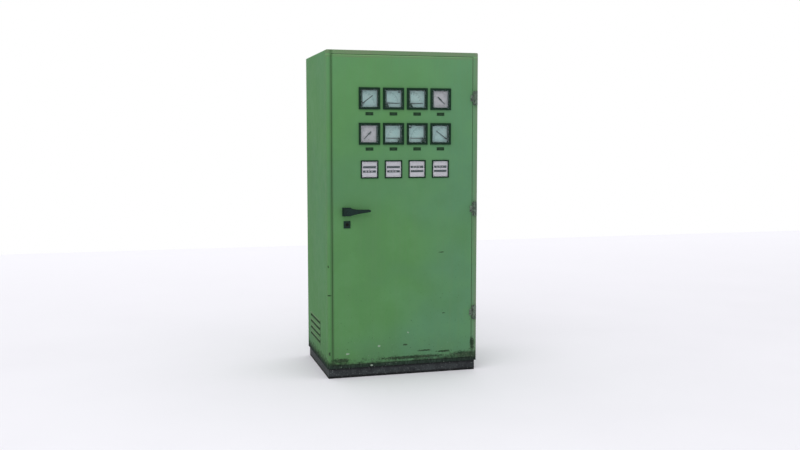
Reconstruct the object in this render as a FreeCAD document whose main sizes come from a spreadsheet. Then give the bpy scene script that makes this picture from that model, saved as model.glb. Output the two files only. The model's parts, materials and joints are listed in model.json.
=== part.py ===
"""Free-standing sheet-steel control cabinet with an instrument door.

Millimetres. The origin is on the floor at the middle of the plinth, +X is to the right of
someone facing the door, +Y points to the back and +Z is up. The door is shut at rest.
"""
import FreeCAD, Part
import math
import os
import re
import Sketcher

Vector = FreeCAD.Vector
doc = FreeCAD.newDocument("control_cabinet")
sizes = doc.addObject("Spreadsheet::Sheet", "Sizes")

DIMENSIONS = [
    # the cabinet
    ("body_width", 700),
    ("body_depth", 500),
    ("body_height", 1410),
    ("plinth_height", 46),
    ("plinth_inset_side", 6),
    ("plinth_inset_front", 8),
    ("plinth_steel", 3),
    ("plinth_flange", 45),
    ("floor_bolt_span_x", 620),
    ("floor_bolt_span_y", 420),
    ("floor_bolt_hole_radius", 6.5),
    ("sheet_steel", 2),
    ("corner_bend", 6),
    ("front_bend", 3),
    ("frame_side", 23),
    ("frame_top", 18),
    ("frame_bottom", 13),
    ("frame_fold", 26),
    ("frame_lip", 14),
    ("rear_flange", 22),
    ("gland_opening_x", 480),
    ("gland_opening_y", 280),
    ("gland_plate_margin", 20),
    ("gland_pitch", 110),
    ("gland_bore_radius", 9),
    ("panel_screw_radius", 3),
    ("screw_clearance", 0.3),
    ("vent_length", 250),
    ("vent_centre_y", 50),
    ("vent_lowest", 131),
    ("vent_pitch", 30),
    ("vent_slot", 14),
    ("vent_count", 4),
    ("vent_blade_depth", 12),
    ("vent_blade_foot", 4),
    ("vent_blade_steel", 1.2),
    # the door
    ("door_gap", 1.5),
    ("door_fold", 16),
    ("door_flange", 14),
    ("gasket_width", 10),
    ("gasket_gap", 0.3),
    ("stiffener_width", 30),
    ("stiffener_depth", 15),
    ("stiffener_steel", 1.5),
    ("hinge_axis_x", 338),
    ("hinge_axis_out", 8.5),
    ("hinge_radius", 8),
    ("hinge_pin_radius", 4),
    ("hinge_play", 0.05),
    ("hinge_height", 62),
    ("hinge_middle", 28),
    ("hinge_slack", 0.5),
    ("hinge_low", 271.3),
    ("hinge_mid", 751),
    ("hinge_high", 1252.7),
    # the instruments
    ("meter_bezel", 96),
    ("meter_proud", 6),
    ("meter_body", 90),
    ("meter_inside", 78),
    ("meter_depth", 52),
    ("meter_window_depth", 2.5),
    ("meter_glass", 2),
    ("meter_dial_depth", 17),
    ("meter_dial_thick", 1),
    ("meter_pitch", 109.6),
    ("meter_column", -156),
    ("meter_row_upper", 1247),
    ("meter_row_lower", 1092),
    ("meter_hub_x", 27),
    ("meter_hub_drop", 19.5),
    ("pointer_length", 57),
    ("pointer_tail", 9),
    ("pointer_half", 2.2),
    ("pointer_tip_half", 1.4),
    ("pointer_hub_radius", 3.5),
    ("pointer_reading", 36.6),
    ("hub_cover_radius", 20),
    ("reed_bezel", 80),
    ("reed_proud", 4),
    ("reed_body", 75),
    ("reed_inside", 69),
    ("reed_depth", 45),
    ("reed_window_depth", 1),
    ("reed_glass", 1.5),
    ("reed_row", 935),
    ("reed_slot_length", 57),
    ("reed_slot_height", 7.5),
    ("reed_slot_offset", 9.5),
    ("reed_count", 13),
    ("label_length", 35),
    ("label_height", 14),
    ("label_drop", 67),
    # handle, latch and lock
    ("handle_x", -261.5),
    ("handle_z", 748.5),
    ("handle_base_size", 38),
    ("handle_base_thick", 8),
    ("handle_thick", 16),
    ("spindle_radius", 6),
    ("running_play", 0.05),
    ("pinion_module", 2),
    ("pinion_teeth", 12),
    ("rod_width", 10),
    ("rod_thick", 5),
    ("rod_depth", 33),
    ("rod_top", 1413),
    ("rod_bottom", 84),
    ("lock_x", -259.3),
    ("lock_z", 691.8),
    ("lock_plate_x", 30),
    ("lock_plate_z", 32),
    ("lock_plate_thick", 4),
    ("lock_core_radius", 7),
    ("lock_tongue_length", 64),
    # the equipment inside
    ("plate_width", 600),
    ("plate_bottom", 120),
    ("plate_top", 1390),
    ("plate_front", 190),
    ("plate_steel", 2.5),
    ("plate_post_radius", 8),
    ("strap_width", 40),
    ("strap_steel", 3),
    ("strap_from_end", 30),
    ("rail_high", 830),
    ("rail_middle", 490),
    ("rail_low", 215),
    ("rail_width", 35),
    ("rail_depth", 7.5),
    ("rail_steel", 1),
    ("duct_width", 40),
    ("duct_depth", 60),
    ("duct_wall", 2),
    ("terminal_pitch", 8.2),
    ("terminal_count", 30),
]

ALIASES = set()
for row, (alias, value) in enumerate(DIMENSIONS, start=1):
    sizes.set("A%d" % row, alias.replace("_", " "))
    sizes.set("B%d" % row, str(value))
    sizes.setAlias("B%d" % row, alias)
    ALIASES.add(alias)
doc.recompute()

FRONT = "(0 - body_depth / 2)"
TOP = "(plinth_height + body_height)"
DOOR_SIDE = "(body_width / 2 - frame_side - door_gap)"
DOOR_LOW = "(plinth_height + frame_bottom + door_gap)"
DOOR_HIGH = "(plinth_height + body_height - frame_top - door_gap)"
HINGE_Y = "(0 - body_depth / 2 - hinge_axis_out)"
ROD_FRONT = "(rod_depth - body_depth / 2)"
RAIL_FRONT = "(plate_front - rail_depth)"


# ---------------------------------------------------------------- sizes
def formula(text):
    """Give each alias in the text its sheet's name."""
    def sheet_name(match):
        word = match.group()
        return "Sizes." + word if word in ALIASES else word
    return re.sub(r"[a-z_]+", sheet_name, str(text))


def number(text):
    """The value of a formula."""
    return float(sizes.evalExpression(formula(text)))


def less(high, low):
    return "(%s) - (%s)" % (high, low)


def plus(first, second):
    return "(%s) + (%s)" % (first, second)


def spread(count, pitch):
    """Places evenly spaced about zero."""
    return [(i - (count - 1) / 2) * pitch for i in range(count)]


# ---------------------------------------------------------------- primitives and booleans
def block(label, x, y, z):
    """A box between two formulas on each axis."""
    box = doc.addObject("Part::Box", label)
    for size_name, base_name, (low, high) in zip(("Length", "Width", "Height"), "xyz", (x, y, z)):
        box.setExpression(size_name, formula(less(high, low)))
        box.setExpression("Placement.Base." + base_name, formula(low))
    return box


TURNS = {
    "x": FreeCAD.Rotation(Vector(0, 1, 0), 90),
    "y": FreeCAD.Rotation(Vector(1, 0, 0), -90),
    "z": FreeCAD.Rotation(),
}


def round_bar(label, axis, x, y, z, radius):
    """A cylinder along one axis. That axis has (low, high), the others a centre."""
    bar = doc.addObject("Part::Cylinder", label)
    bar.Placement = FreeCAD.Placement(Vector(), TURNS[axis])
    bar.setExpression("Radius", formula(radius))
    for name, place in zip("xyz", (x, y, z)):
        low = place[0] if name == axis else place
        bar.setExpression("Placement.Base." + name, formula(low))
        if name == axis:
            bar.setExpression("Height", formula(less(place[1], place[0])))
    return bar


def join(label, *pieces):
    fused = doc.addObject("Part::MultiFuse", label)
    fused.Shapes = list(pieces)
    return fused


def remove(label, base, *tools):
    cut = doc.addObject("Part::Cut", label)
    cut.Base = base
    cut.Tool = tools[0] if len(tools) == 1 else join(label + "_tools", *tools)
    return cut


def group(label, *pieces):
    """Separate solids of one kind in one node."""
    together = doc.addObject("Part::Compound", label)
    together.Links = list(pieces)
    return together


def repeat(label, master, places):
    """Copies of a master piece, one at each place, as separate solids."""
    doc.recompute()
    copies = doc.addObject("Part::Feature", label)
    copies.Shape = Part.makeCompound([master.Shape.translated(Vector(*place)) for place in places])
    return copies


# ---------------------------------------------------------------- sketched bodies
PLANES = {"x": "YZ_Plane", "y": "XZ_Plane", "z": "XY_Plane"}
LENGTH_WAYS = ("DistanceX", "DistanceY")


def place_point(sketch, line, which, point):
    """Hold one point of a sketch at two formulas from the origin."""
    for way, text in zip(LENGTH_WAYS, point):
        index = sketch.addConstraint(Sketcher.Constraint(way, -1, 1, line, which, number(text)))
        sketch.setExpression("Constraints[%d]" % index, formula(text))


def draw_polygon(sketch, points):
    corners = [Vector(number(a), number(b), 0) for a, b in points]
    first = sketch.GeometryCount
    for i, corner in enumerate(corners):
        sketch.addGeometry(Part.LineSegment(corner, corners[(i + 1) % len(corners)]), False)
    for i in range(len(corners)):
        following = first + (i + 1) % len(corners)
        sketch.addConstraint(Sketcher.Constraint("Coincident", first + i, 2, following, 1))
    for i, point in enumerate(points):
        place_point(sketch, first + i, 1, point)


def draw_rectangle(sketch, left, right, low, high):
    draw_polygon(sketch, [(left, low), (right, low), (right, high), (left, high)])


def draw_circle(sketch, across, up, radius):
    index = sketch.GeometryCount
    centre = Vector(number(across), number(up), 0)
    sketch.addGeometry(Part.Circle(centre, Vector(0, 0, 1), number(radius)), False)
    place_point(sketch, index, 3, (across, up))
    size = sketch.addConstraint(Sketcher.Constraint("Radius", index, number(radius)))
    sketch.setExpression("Constraints[%d]" % size, formula(radius))


DRAW = {"polygon": draw_polygon, "rectangle": draw_rectangle, "circle": draw_circle}


def new_body(label):
    return doc.addObject("PartDesign::Body", label)


def slab(body, axis, low, high, *outlines, cut=False):
    """Add the outlines' area to the body between two planes, or cut it away."""
    name = "%s_%d" % (body.Name, len(body.Group))
    sketch = body.newObject("Sketcher::SketchObject", name + "_sketch")
    plane = [f for f in body.Origin.OriginFeatures if f.Role == PLANES[axis]][0]
    sketch.AttachmentSupport = [(plane, "")]
    sketch.MapMode = "FlatFace"
    towards_plus = axis != "y"
    start = high if towards_plus == cut else low
    offset = start if towards_plus else "0 - (%s)" % start
    sketch.setExpression("AttachmentOffset.Base.z", formula(offset))
    for kind, *values in outlines:
        DRAW[kind](sketch, *values)
    feature = body.newObject("PartDesign::Pocket" if cut else "PartDesign::Pad", name)
    feature.Profile = sketch
    feature.setExpression("Length", formula(less(high, low)))
    before = body.Shape.Volume if cut else 0
    doc.recompute()
    if cut and not body.Shape.Volume < before:
        raise RuntimeError("%s cuts nothing" % name)
    return feature


def rounded(body, feature, radius, wanted):
    """Fillet the edges of a feature that the test picks."""
    names = ["Edge%d" % (i + 1) for i, edge in enumerate(feature.Shape.Edges) if wanted(edge)]
    fillet = body.newObject("PartDesign::Fillet", body.Name + "_bend")
    fillet.Base = (feature, names)
    fillet.setExpression("Radius", formula(radius))
    doc.recompute()
    return fillet


def runs_along(edge, direction):
    start, end = edge.Vertexes[0].Point, edge.Vertexes[-1].Point
    return (end - start).cross(Vector(*direction)).Length < 1e-6 and edge.Length > 1e-6


# ---------------------------------------------------------------- plinth and shell
def make_plinth():
    side = "(body_width / 2 - plinth_inset_side)"
    front = "(plinth_inset_front - body_depth / 2)"
    back = "(body_depth / 2 - plinth_inset_side)"
    plinth = new_body("plinth_frame")
    slab(plinth, "z", "0", "plinth_height", ("rectangle", "0 - " + side, side, front, back))
    slab(plinth, "z", "plinth_steel", "plinth_height - plinth_steel",
         ("rectangle", "plinth_steel - " + side, side + " - plinth_steel",
          front + " + plinth_steel", back + " - plinth_steel"), cut=True)
    slab(plinth, "z", "0", "plinth_height",
         ("rectangle", "plinth_flange - " + side, side + " - plinth_flange",
          front + " + plinth_flange", back + " - plinth_flange"), cut=True)
    holes = [("circle", "%s * floor_bolt_span_x / 2" % across,
              "%s * floor_bolt_span_y / 2" % along, "floor_bolt_hole_radius")
             for across in ("(-1)", "1") for along in ("(-1)", "1")]
    slab(plinth, "z", "0", "plinth_steel", *holes, cut=True)
    return plinth


def rounded_tube(label, low, high, front_bend):
    """A length of the body's four-sided wrap. Its roof corners are bent, and its front edges may be."""
    inner = "(body_width / 2 - sheet_steel)"
    top, half, start = number(TOP), number("body_width / 2"), number(low)
    tube = new_body(label)
    solid = slab(tube, "y", low, high,
                 ("rectangle", "0 - body_width / 2", "body_width / 2", "plinth_height", TOP))

    def roof_corner(edge):
        return runs_along(edge, (0, 1, 0)) and edge.CenterOfMass.z > top - 5

    def front_corner(edge):
        middle = edge.CenterOfMass
        return abs(middle.y - start) < 0.01 and (abs(middle.x) > half - 5 or middle.z > top - 5)
    bent = rounded(tube, solid, "corner_bend", roof_corner)
    if front_bend:
        rounded(tube, bent, "front_bend", front_corner)
    hollow_start = low + " + sheet_steel" if front_bend else low
    hollow = slab(tube, "y", hollow_start, high,
                  ("rectangle", "0 - " + inner, inner, "plinth_height + sheet_steel",
                   "%s - sheet_steel" % TOP), cut=True)
    middle_y = (number(hollow_start) + number(high)) / 2

    def inner_corner(edge):
        middle = edge.CenterOfMass
        return (runs_along(edge, (0, 1, 0)) and abs(middle.y - middle_y) < 5
                and half - 5 < abs(middle.x) < half - 1 and top - 5 < middle.z < top - 1)
    rounded(tube, hollow, "corner_bend - sheet_steel", inner_corner)
    return tube


def make_shell():
    """The wrap behind the door frame: two sides, roof and floor of one thickness."""
    back = "(body_depth / 2 - sheet_steel)"
    shell = rounded_tube("cabinet_shell", "%s + frame_fold" % FRONT, back, False)
    slab(shell, "z", "plinth_height", "plinth_height + sheet_steel",
         ("rectangle", "0 - gland_opening_x / 2", "gland_opening_x / 2",
          "0 - gland_opening_y / 2", "gland_opening_y / 2"), cut=True)
    slots = [("rectangle", "vent_centre_y - vent_length / 2", "vent_centre_y + vent_length / 2",
              "vent_lowest + %d * vent_pitch - vent_slot / 2" % i,
              "vent_lowest + %d * vent_pitch + vent_slot / 2" % i)
             for i in range(int(number("vent_count")))]
    slab(shell, "x", "0 - body_width / 2", "body_width / 2", *slots, cut=True)
    screws = [("circle", "%.6f" % x, "%.6f" % y, "panel_screw_radius + screw_clearance")
              for x, y in gland_screw_places()]
    slab(shell, "z", "plinth_height", "plinth_height + sheet_steel", *screws, cut=True)
    return shell


def make_door_frame():
    """The front of the body: a flange round the doorway, folded back, with a lip for the gasket."""
    opening = "(body_width / 2 - frame_side)"
    low = "(plinth_height + frame_bottom)"
    high = "(%s - frame_top)" % TOP
    lip_back = "%s + frame_fold" % FRONT
    frame = rounded_tube("door_frame", FRONT, lip_back, True)
    slab(frame, "y", FRONT, "%s + sheet_steel" % FRONT,
         ("rectangle", "0 - " + opening, opening, low, high), cut=True)
    outside = ("rectangle", "0 - %s - sheet_steel" % opening, opening + " + sheet_steel",
               low + " - sheet_steel", high + " + sheet_steel")
    slab(frame, "y", "%s + sheet_steel" % FRONT, lip_back, outside,
         ("rectangle", "0 - " + opening, opening, low, high))
    slab(frame, "y", lip_back + " - sheet_steel", lip_back, outside,
         ("rectangle", "frame_lip - " + opening, opening + " - frame_lip",
          low + " + frame_lip", high + " - frame_lip"))
    return frame


def make_rear_frame():
    """A flange ring for the rear panel, with two straps across it that carry the mounting plate."""
    inner = "(body_width / 2 - sheet_steel)"
    low = "(plinth_height + sheet_steel)"
    high = "(%s - sheet_steel)" % TOP
    back = "(body_depth / 2 - sheet_steel)"
    front = back + " - sheet_steel"
    ring = new_body("rear_frame")
    sheet = slab(ring, "y", front, back, ("rectangle", "0 - " + inner, inner, low, high))
    top = number(high)
    rounded(ring, sheet, "corner_bend - sheet_steel",
            lambda edge: runs_along(edge, (0, 1, 0)) and edge.CenterOfMass.z > top - 1)
    slab(ring, "y", front, back,
         ("rectangle", "rear_flange - " + inner, inner + " - rear_flange",
          low + " + rear_flange", high + " - rear_flange"), cut=True)
    straps = [("rectangle", "0 - " + inner, inner, bottom, bottom + " + strap_width")
              for bottom in ("plate_bottom + strap_from_end",
                             "plate_top - strap_from_end - strap_width")]
    strap_front = front + " - strap_steel"
    slab(ring, "y", strap_front, front, *straps)
    posts = [("circle", "%s * (plate_width / 2 - 30)" % side, height, "plate_post_radius")
             for side in ("(-1)", "1")
             for height in ("plate_bottom + strap_from_end + strap_width / 2",
                            "plate_top - strap_from_end - strap_width / 2")]
    slab(ring, "y", "plate_front + plate_steel", strap_front, *posts)
    screws = [("circle", "%.6f" % x, "%.6f" % z, "panel_screw_radius + screw_clearance")
              for x, z in rear_screw_places()]
    slab(ring, "y", front, back, *screws, cut=True)
    return ring


def rear_screw_places():
    across = number("body_width / 2 - sheet_steel - rear_flange / 2")
    low = number("plinth_height + sheet_steel + rear_flange / 2")
    high = number("%s - sheet_steel - rear_flange / 2" % TOP)
    middle = (low + high) / 2
    return [(x, z) for x in (-across, across) for z in (low, middle, high)]


def gland_screw_places():
    across = number("gland_opening_x / 2 + gland_plate_margin / 2")
    along = number("gland_opening_y / 2 + gland_plate_margin / 2")
    return [(x, y) for x in (-across, 0, across) for y in (-along, along)]


def make_louvres():
    """Rain blades welded inside the vent slots of both sides. Each rises inwards from its slot."""
    blades = []
    half = "(vent_length / 2 + 3)"
    for side, inward in (("left", 1), ("right", -1)):
        def from_wall(depth):
            return "%d * (0 - body_width / 2 + sheet_steel + %s)" % (inward, depth)
        blade = new_body("louvre_" + side)
        slab(blade, "y", "vent_centre_y - " + half, "vent_centre_y + " + half,
             ("polygon", [(from_wall("0"), "0 - vent_slot / 2 - vent_blade_foot"),
                          (from_wall("vent_blade_steel"), "0 - vent_slot / 2 - vent_blade_foot"),
                          (from_wall("vent_blade_steel"), "0 - vent_slot / 2 - vent_blade_steel"),
                          (from_wall("vent_blade_depth"), "vent_slot / 2"),
                          (from_wall("vent_blade_depth"), "vent_slot / 2 + vent_blade_steel"),
                          (from_wall("0"), "0 - vent_slot / 2")]))
        blades.append(blade)
    heights = [number("vent_lowest + %d * vent_pitch" % i) for i in range(int(number("vent_count")))]
    doc.recompute()
    copies = doc.addObject("Part::Feature", "side_louvres")
    copies.Shape = Part.makeCompound([blade.Shape.translated(Vector(0, 0, z))
                                      for blade in blades for z in heights])
    return copies


def make_rear_panel():
    panel = new_body("rear_panel")
    side = "(body_width / 2)"
    slab(panel, "y", "body_depth / 2 - sheet_steel", "body_depth / 2",
         ("rectangle", "0 - %s + 1" % side, side + " - 1", "plinth_height + 1", "%s - 1" % TOP))
    holes = [("circle", "%.6f" % x, "%.6f" % z, "panel_screw_radius + screw_clearance")
             for x, z in rear_screw_places()]
    slab(panel, "y", "body_depth / 2 - sheet_steel", "body_depth / 2", *holes, cut=True)
    return panel


def make_gland_plate():
    """The removable plate over the bottom opening, inside the cabinet."""
    plate = new_body("gland_plate")
    x = "(gland_opening_x / 2 + gland_plate_margin)"
    y = "(gland_opening_y / 2 + gland_plate_margin)"
    low, high = "plinth_height + sheet_steel", "plinth_height + 2 * sheet_steel"
    slab(plate, "z", low, high, ("rectangle", "0 - " + x, x, "0 - " + y, y))
    holes = [("circle", "%.6f" % a, "%.6f" % b, "panel_screw_radius + screw_clearance")
             for a, b in gland_screw_places()]
    holes += [("circle", "%.1f * gland_pitch" % i, "0", "gland_bore_radius + 4.5")
              for i in (-1.5, -0.5, 0.5, 1.5)]
    slab(plate, "z", low, high, *holes, cut=True)
    return plate


def make_glands():
    """Cable glands through the gland plate: threaded body, nut and hexagon."""
    low, high = "plinth_height + sheet_steel", "plinth_height + 2 * sheet_steel"
    body = round_bar("gland_thread", "z", "0", "0", (low + " - 14", high + " + 20"),
                     "gland_bore_radius + 4.5")
    collar = round_bar("gland_collar", "z", "0", "0", (high, high + " + 6"), "gland_bore_radius + 8")
    dome = round_bar("gland_dome", "z", "0", "0", (high + " + 6", high + " + 16"),
                     "gland_bore_radius + 6.5")
    nut = round_bar("gland_nut", "z", "0", "0", (low + " - 6", low), "gland_bore_radius + 8")
    bore = round_bar("gland_bore", "z", "0", "0", (low + " - 20", high + " + 30"),
                     "gland_bore_radius")
    gland = remove("gland", join("gland_outer", body, collar, dome, nut), bore)
    pitch = number("gland_pitch")
    return repeat("cable_glands", gland, [(x, 0, 0) for x in spread(4, pitch)])


def make_screws():
    """The same screw holds the rear panel and the gland plate."""
    shank = round_bar("screw_shank", "z", "0", "0", ("-12", "0"), "panel_screw_radius")
    head = round_bar("screw_head", "z", "0", "0", ("0", "3.6"), "panel_screw_radius + 2.2")
    socket = round_bar("screw_socket", "z", "0", "0", ("1.4", "5"), "2")
    screw = remove("screw", join("screw_outer", head, shank), socket)
    doc.recompute()
    solids = []
    top = number("plinth_height + 2 * sheet_steel")
    for x, y in gland_screw_places():
        solids.append(screw.Shape.translated(Vector(x, y, top)))
    outward = screw.Shape.rotated(Vector(), Vector(1, 0, 0), -90)
    for x, z in rear_screw_places():
        solids.append(outward.translated(Vector(x, number("body_depth / 2"), z)))
    screws = doc.addObject("Part::Feature", "panel_screws")
    screws.Shape = Part.makeCompound(solids)
    return screws


# ---------------------------------------------------------------- door
def make_door():
    door = new_body("door_panel")
    inner = "(%s - sheet_steel)" % DOOR_SIDE
    mouth = "(%s - door_flange)" % DOOR_SIDE
    back = "%s + door_fold" % FRONT
    full = slab(door, "y", FRONT, back,
                ("rectangle", "0 - " + DOOR_SIDE, DOOR_SIDE, DOOR_LOW, DOOR_HIGH))
    front = number(FRONT)
    rounded(door, full, "sheet_steel", lambda edge: abs(edge.CenterOfMass.y - front) < 0.01)
    slab(door, "y", "%s + sheet_steel" % FRONT, back + " - sheet_steel",
         ("rectangle", "0 - " + inner, inner, DOOR_LOW + " + sheet_steel",
          DOOR_HIGH + " - sheet_steel"), cut=True)
    slab(door, "y", back + " - sheet_steel", back,
         ("rectangle", "0 - " + mouth, mouth, DOOR_LOW + " + door_flange",
          DOOR_HIGH + " - door_flange"), cut=True)
    cutouts = []
    for x, z in meter_places():
        cutouts.append(square_cut(x, z, "meter_body / 2"))
    for x in meter_columns():
        cutouts.append(square_cut(x, number("reed_row"), "reed_body / 2"))
    cutouts.append(("circle", "handle_x", "handle_z", "spindle_radius + 1"))
    cutouts.append(("circle", "lock_x", "lock_z", "lock_core_radius + 4"))
    slab(door, "y", FRONT, "%s + sheet_steel" % FRONT, *cutouts, cut=True)
    return door


def square_cut(x, z, half):
    return ("rectangle", "%.6f - %s" % (x, half), "%.6f + %s" % (x, half),
            "%.6f - %s" % (z, half), "%.6f + %s" % (z, half))


def meter_columns():
    return [number("meter_column + %d * meter_pitch" % i) for i in range(4)]


def meter_places():
    return [(x, number(row)) for row in ("meter_row_upper", "meter_row_lower")
            for x in meter_columns()]


def make_gasket():
    gasket = new_body("door_gasket")
    outer = "(%s - 2)" % DOOR_SIDE
    inner = "(%s - 2 - gasket_width)" % DOOR_SIDE
    slab(gasket, "y", "%s + door_fold" % FRONT,
         "%s + frame_fold - sheet_steel - gasket_gap" % FRONT,
         ("rectangle", "0 - " + outer, outer, DOOR_LOW + " + 2", DOOR_HIGH + " - 2"),
         ("rectangle", "0 - " + inner, inner, DOOR_LOW + " + 2 + gasket_width",
          DOOR_HIGH + " - 2 - gasket_width"))
    return gasket


def channel(label, x, z):
    """A U channel on the door's inner face, open towards the sheet."""
    near = "%s + sheet_steel" % FRONT
    far = near + " + stiffener_depth"
    outer = block(label + "_outer", x, (near, far), z)
    upright = number(less(x[1], x[0])) < number(less(z[1], z[0]))
    wall = "stiffener_steel"
    if upright:
        inner_x, inner_z = (plus(x[0], wall), less(x[1], wall)), (less(z[0], "1"), plus(z[1], "1"))
    else:
        inner_x, inner_z = (less(x[0], "1"), plus(x[1], "1")), (plus(z[0], wall), less(z[1], wall))
    inner = block(label + "_inner", inner_x, (less(near, "1"), less(far, wall)), inner_z)
    return remove(label, outer, inner)


def make_stiffeners():
    half = "stiffener_width / 2"
    left = channel("stiffener_left", ("-135 - " + half, "-135 + " + half), ("90", "850"))
    right = channel("stiffener_right", ("135 - " + half, "135 + " + half), ("90", "850"))
    cross = channel("stiffener_cross", ("-200", "260"), ("1370 - " + half, "1370 + " + half))
    return group("door_stiffeners", left, right, cross)


def hinge_heights():
    return [number(name) for name in ("hinge_low", "hinge_mid", "hinge_high")]


def make_hinges():
    half = "hinge_height / 2"
    middle = "hinge_middle / 2"
    bore = "hinge_pin_radius"
    leaf_front = "%s - 2.5" % FRONT

    def knuckle(label, low, high, hole):
        barrel = round_bar(label + "_barrel", "z", "hinge_axis_x", HINGE_Y, (low, high),
                           "hinge_radius")
        return barrel, round_bar(label + "_hole", "z", "hinge_axis_x", HINGE_Y,
                                 (less(low, "1"), plus(high, "1")), hole)
    frame_parts = []
    for label, low, high in (("hinge_under", "0 - " + half, "0 - %s - hinge_slack" % middle),
                             ("hinge_over", "%s + hinge_slack" % middle, half)):
        barrel, hole = knuckle(label, low, high, bore)
        leaf = block(label + "_leaf", ("hinge_axis_x - 9.5", "hinge_axis_x + 9.5"),
                     (leaf_front, FRONT), (low, high))
        frame_parts.append(remove(label, join(label + "_solid", barrel, leaf), hole))
    barrel, hole = knuckle("hinge_door", "0 - " + middle, middle, "hinge_pin_radius + hinge_play")
    tab = block("hinge_door_tab", ("hinge_axis_x - 22.5", "hinge_axis_x - 4"),
                ("%s - 3" % FRONT, FRONT), ("0 - " + middle, middle))
    clear = block("hinge_door_clear", (DOOR_SIDE, "hinge_axis_x + 20"),
                  ("%s - 0.5" % FRONT, "%s + 1" % FRONT), ("0 - hinge_middle", "hinge_middle"))
    door_part = remove("hinge_door", join("hinge_door_solid", barrel, tab), hole, clear)
    shaft = round_bar("pin_shaft", "z", "hinge_axis_x", HINGE_Y, ("0 - " + half, half), bore)
    cap = round_bar("pin_cap", "z", "hinge_axis_x", HINGE_Y, (half, half + " + 2"),
                    "hinge_pin_radius + 2")
    pin = join("pin", shaft, cap)
    frame_knuckles = group("hinge_frame_pair", *frame_parts)
    places = [(0, 0, z) for z in hinge_heights()]
    return [repeat("hinge_frame_knuckles", frame_knuckles, places),
            repeat("hinge_door_knuckles", door_part, places),
            repeat("hinge_pins", pin, places)]


def make_labels():
    half_x, half_z = "label_length / 2", "label_height / 2"
    plate = block("label_plate", ("0 - " + half_x, half_x), ("%s - 1.2" % FRONT, FRONT),
                  ("0 - " + half_z, half_z))
    drop = number("label_drop")
    return repeat("label_plates", plate, [(x, 0, z - drop) for x, z in meter_places()])


# ---------------------------------------------------------------- instruments
def make_case(label, bezel, proud, body, inside, depth, step):
    """A square instrument case: a bezel in front of the door and an open box behind it."""
    case = new_body(label)
    half = "(%s / 2)" % bezel
    rear = "(%s / 2)" % body
    bore = "(%s / 2)" % inside
    slab(case, "y", "%s - %s" % (FRONT, proud), FRONT,
         ("rectangle", "0 - " + half, half, "0 - " + half, half))
    slab(case, "y", FRONT, "%s + %s" % (FRONT, depth),
         ("rectangle", "0 - " + rear, rear, "0 - " + rear, rear))
    slab(case, "y", "%s - %s" % (FRONT, proud), "%s + %s - %s" % (FRONT, depth, step),
         ("rectangle", "0 - " + bore, bore, "0 - " + bore, bore), cut=True)
    return case


def make_meters():
    places = [(x, 0, z) for x, z in meter_places()]
    case = make_case("meter_case", "meter_bezel", "meter_proud", "meter_body", "meter_inside",
                     "meter_depth", "3")
    half = "(meter_inside / 2)"
    dial_front = "%s - meter_proud + meter_dial_depth" % FRONT
    dial = block("meter_dial_plate", ("0 - " + half, half),
                 (dial_front, dial_front + " + meter_dial_thick"), ("0 - " + half, half))
    movement = block("meter_movement", ("-24", "24"),
                     (dial_front + " + meter_dial_thick", "%s + meter_depth - 3" % FRONT),
                     ("-24", "24"))
    clamp = block("meter_clamp", ("0 - meter_body / 2 - 8", "0 - meter_body / 2"),
                  ("%s + sheet_steel" % FRONT, "%s + sheet_steel + 30" % FRONT), ("-6", "6"))
    doc.recompute()
    mirrored = doc.addObject("Part::Mirroring", "meter_clamp_mirrored")
    mirrored.Source = clamp
    mirrored.Base = Vector(0, 0, 0)
    mirrored.Normal = Vector(1, 0, 0)
    clamps = group("meter_clamp_pair", clamp, mirrored)
    return [repeat("meter_cases", case, places),
            repeat("meter_dials", dial, places),
            repeat("meter_movements", movement, places),
            repeat("meter_clamps", clamps, places)]


def make_hub_covers():
    """Quarter-round covers over the pivots, in the lower corner of four windows."""
    half = "(meter_inside / 2)"
    near = "%s - meter_proud + meter_window_depth + meter_glass" % FRONT
    covers = []
    for name, side in (("left", "(-1)"), ("right", "1")):
        disc = round_bar("cover_disc_" + name, "y", "%s * %s" % (side, half),
                         (near, near + " + 3"), "0 - " + half, "hub_cover_radius")
        inside = block("cover_corner_" + name, ("0 - " + half, half), (less(near, "1"), near + " + 4"),
                       ("0 - " + half, half))
        corner = doc.addObject("Part::Common", "hub_cover_" + name)
        corner.Base = disc
        corner.Tool = inside
        covers.append(corner)
    doc.recompute()
    columns = meter_columns()
    upper, lower = number("meter_row_upper"), number("meter_row_lower")
    together = doc.addObject("Part::Feature", "meter_hub_covers")
    together.Shape = Part.makeCompound(
        [covers[0].Shape.translated(Vector(x, 0, upper)) for x in columns[1:3]]
        + [covers[1].Shape.translated(Vector(x, 0, lower)) for x in columns[1:3]])
    return together


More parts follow.
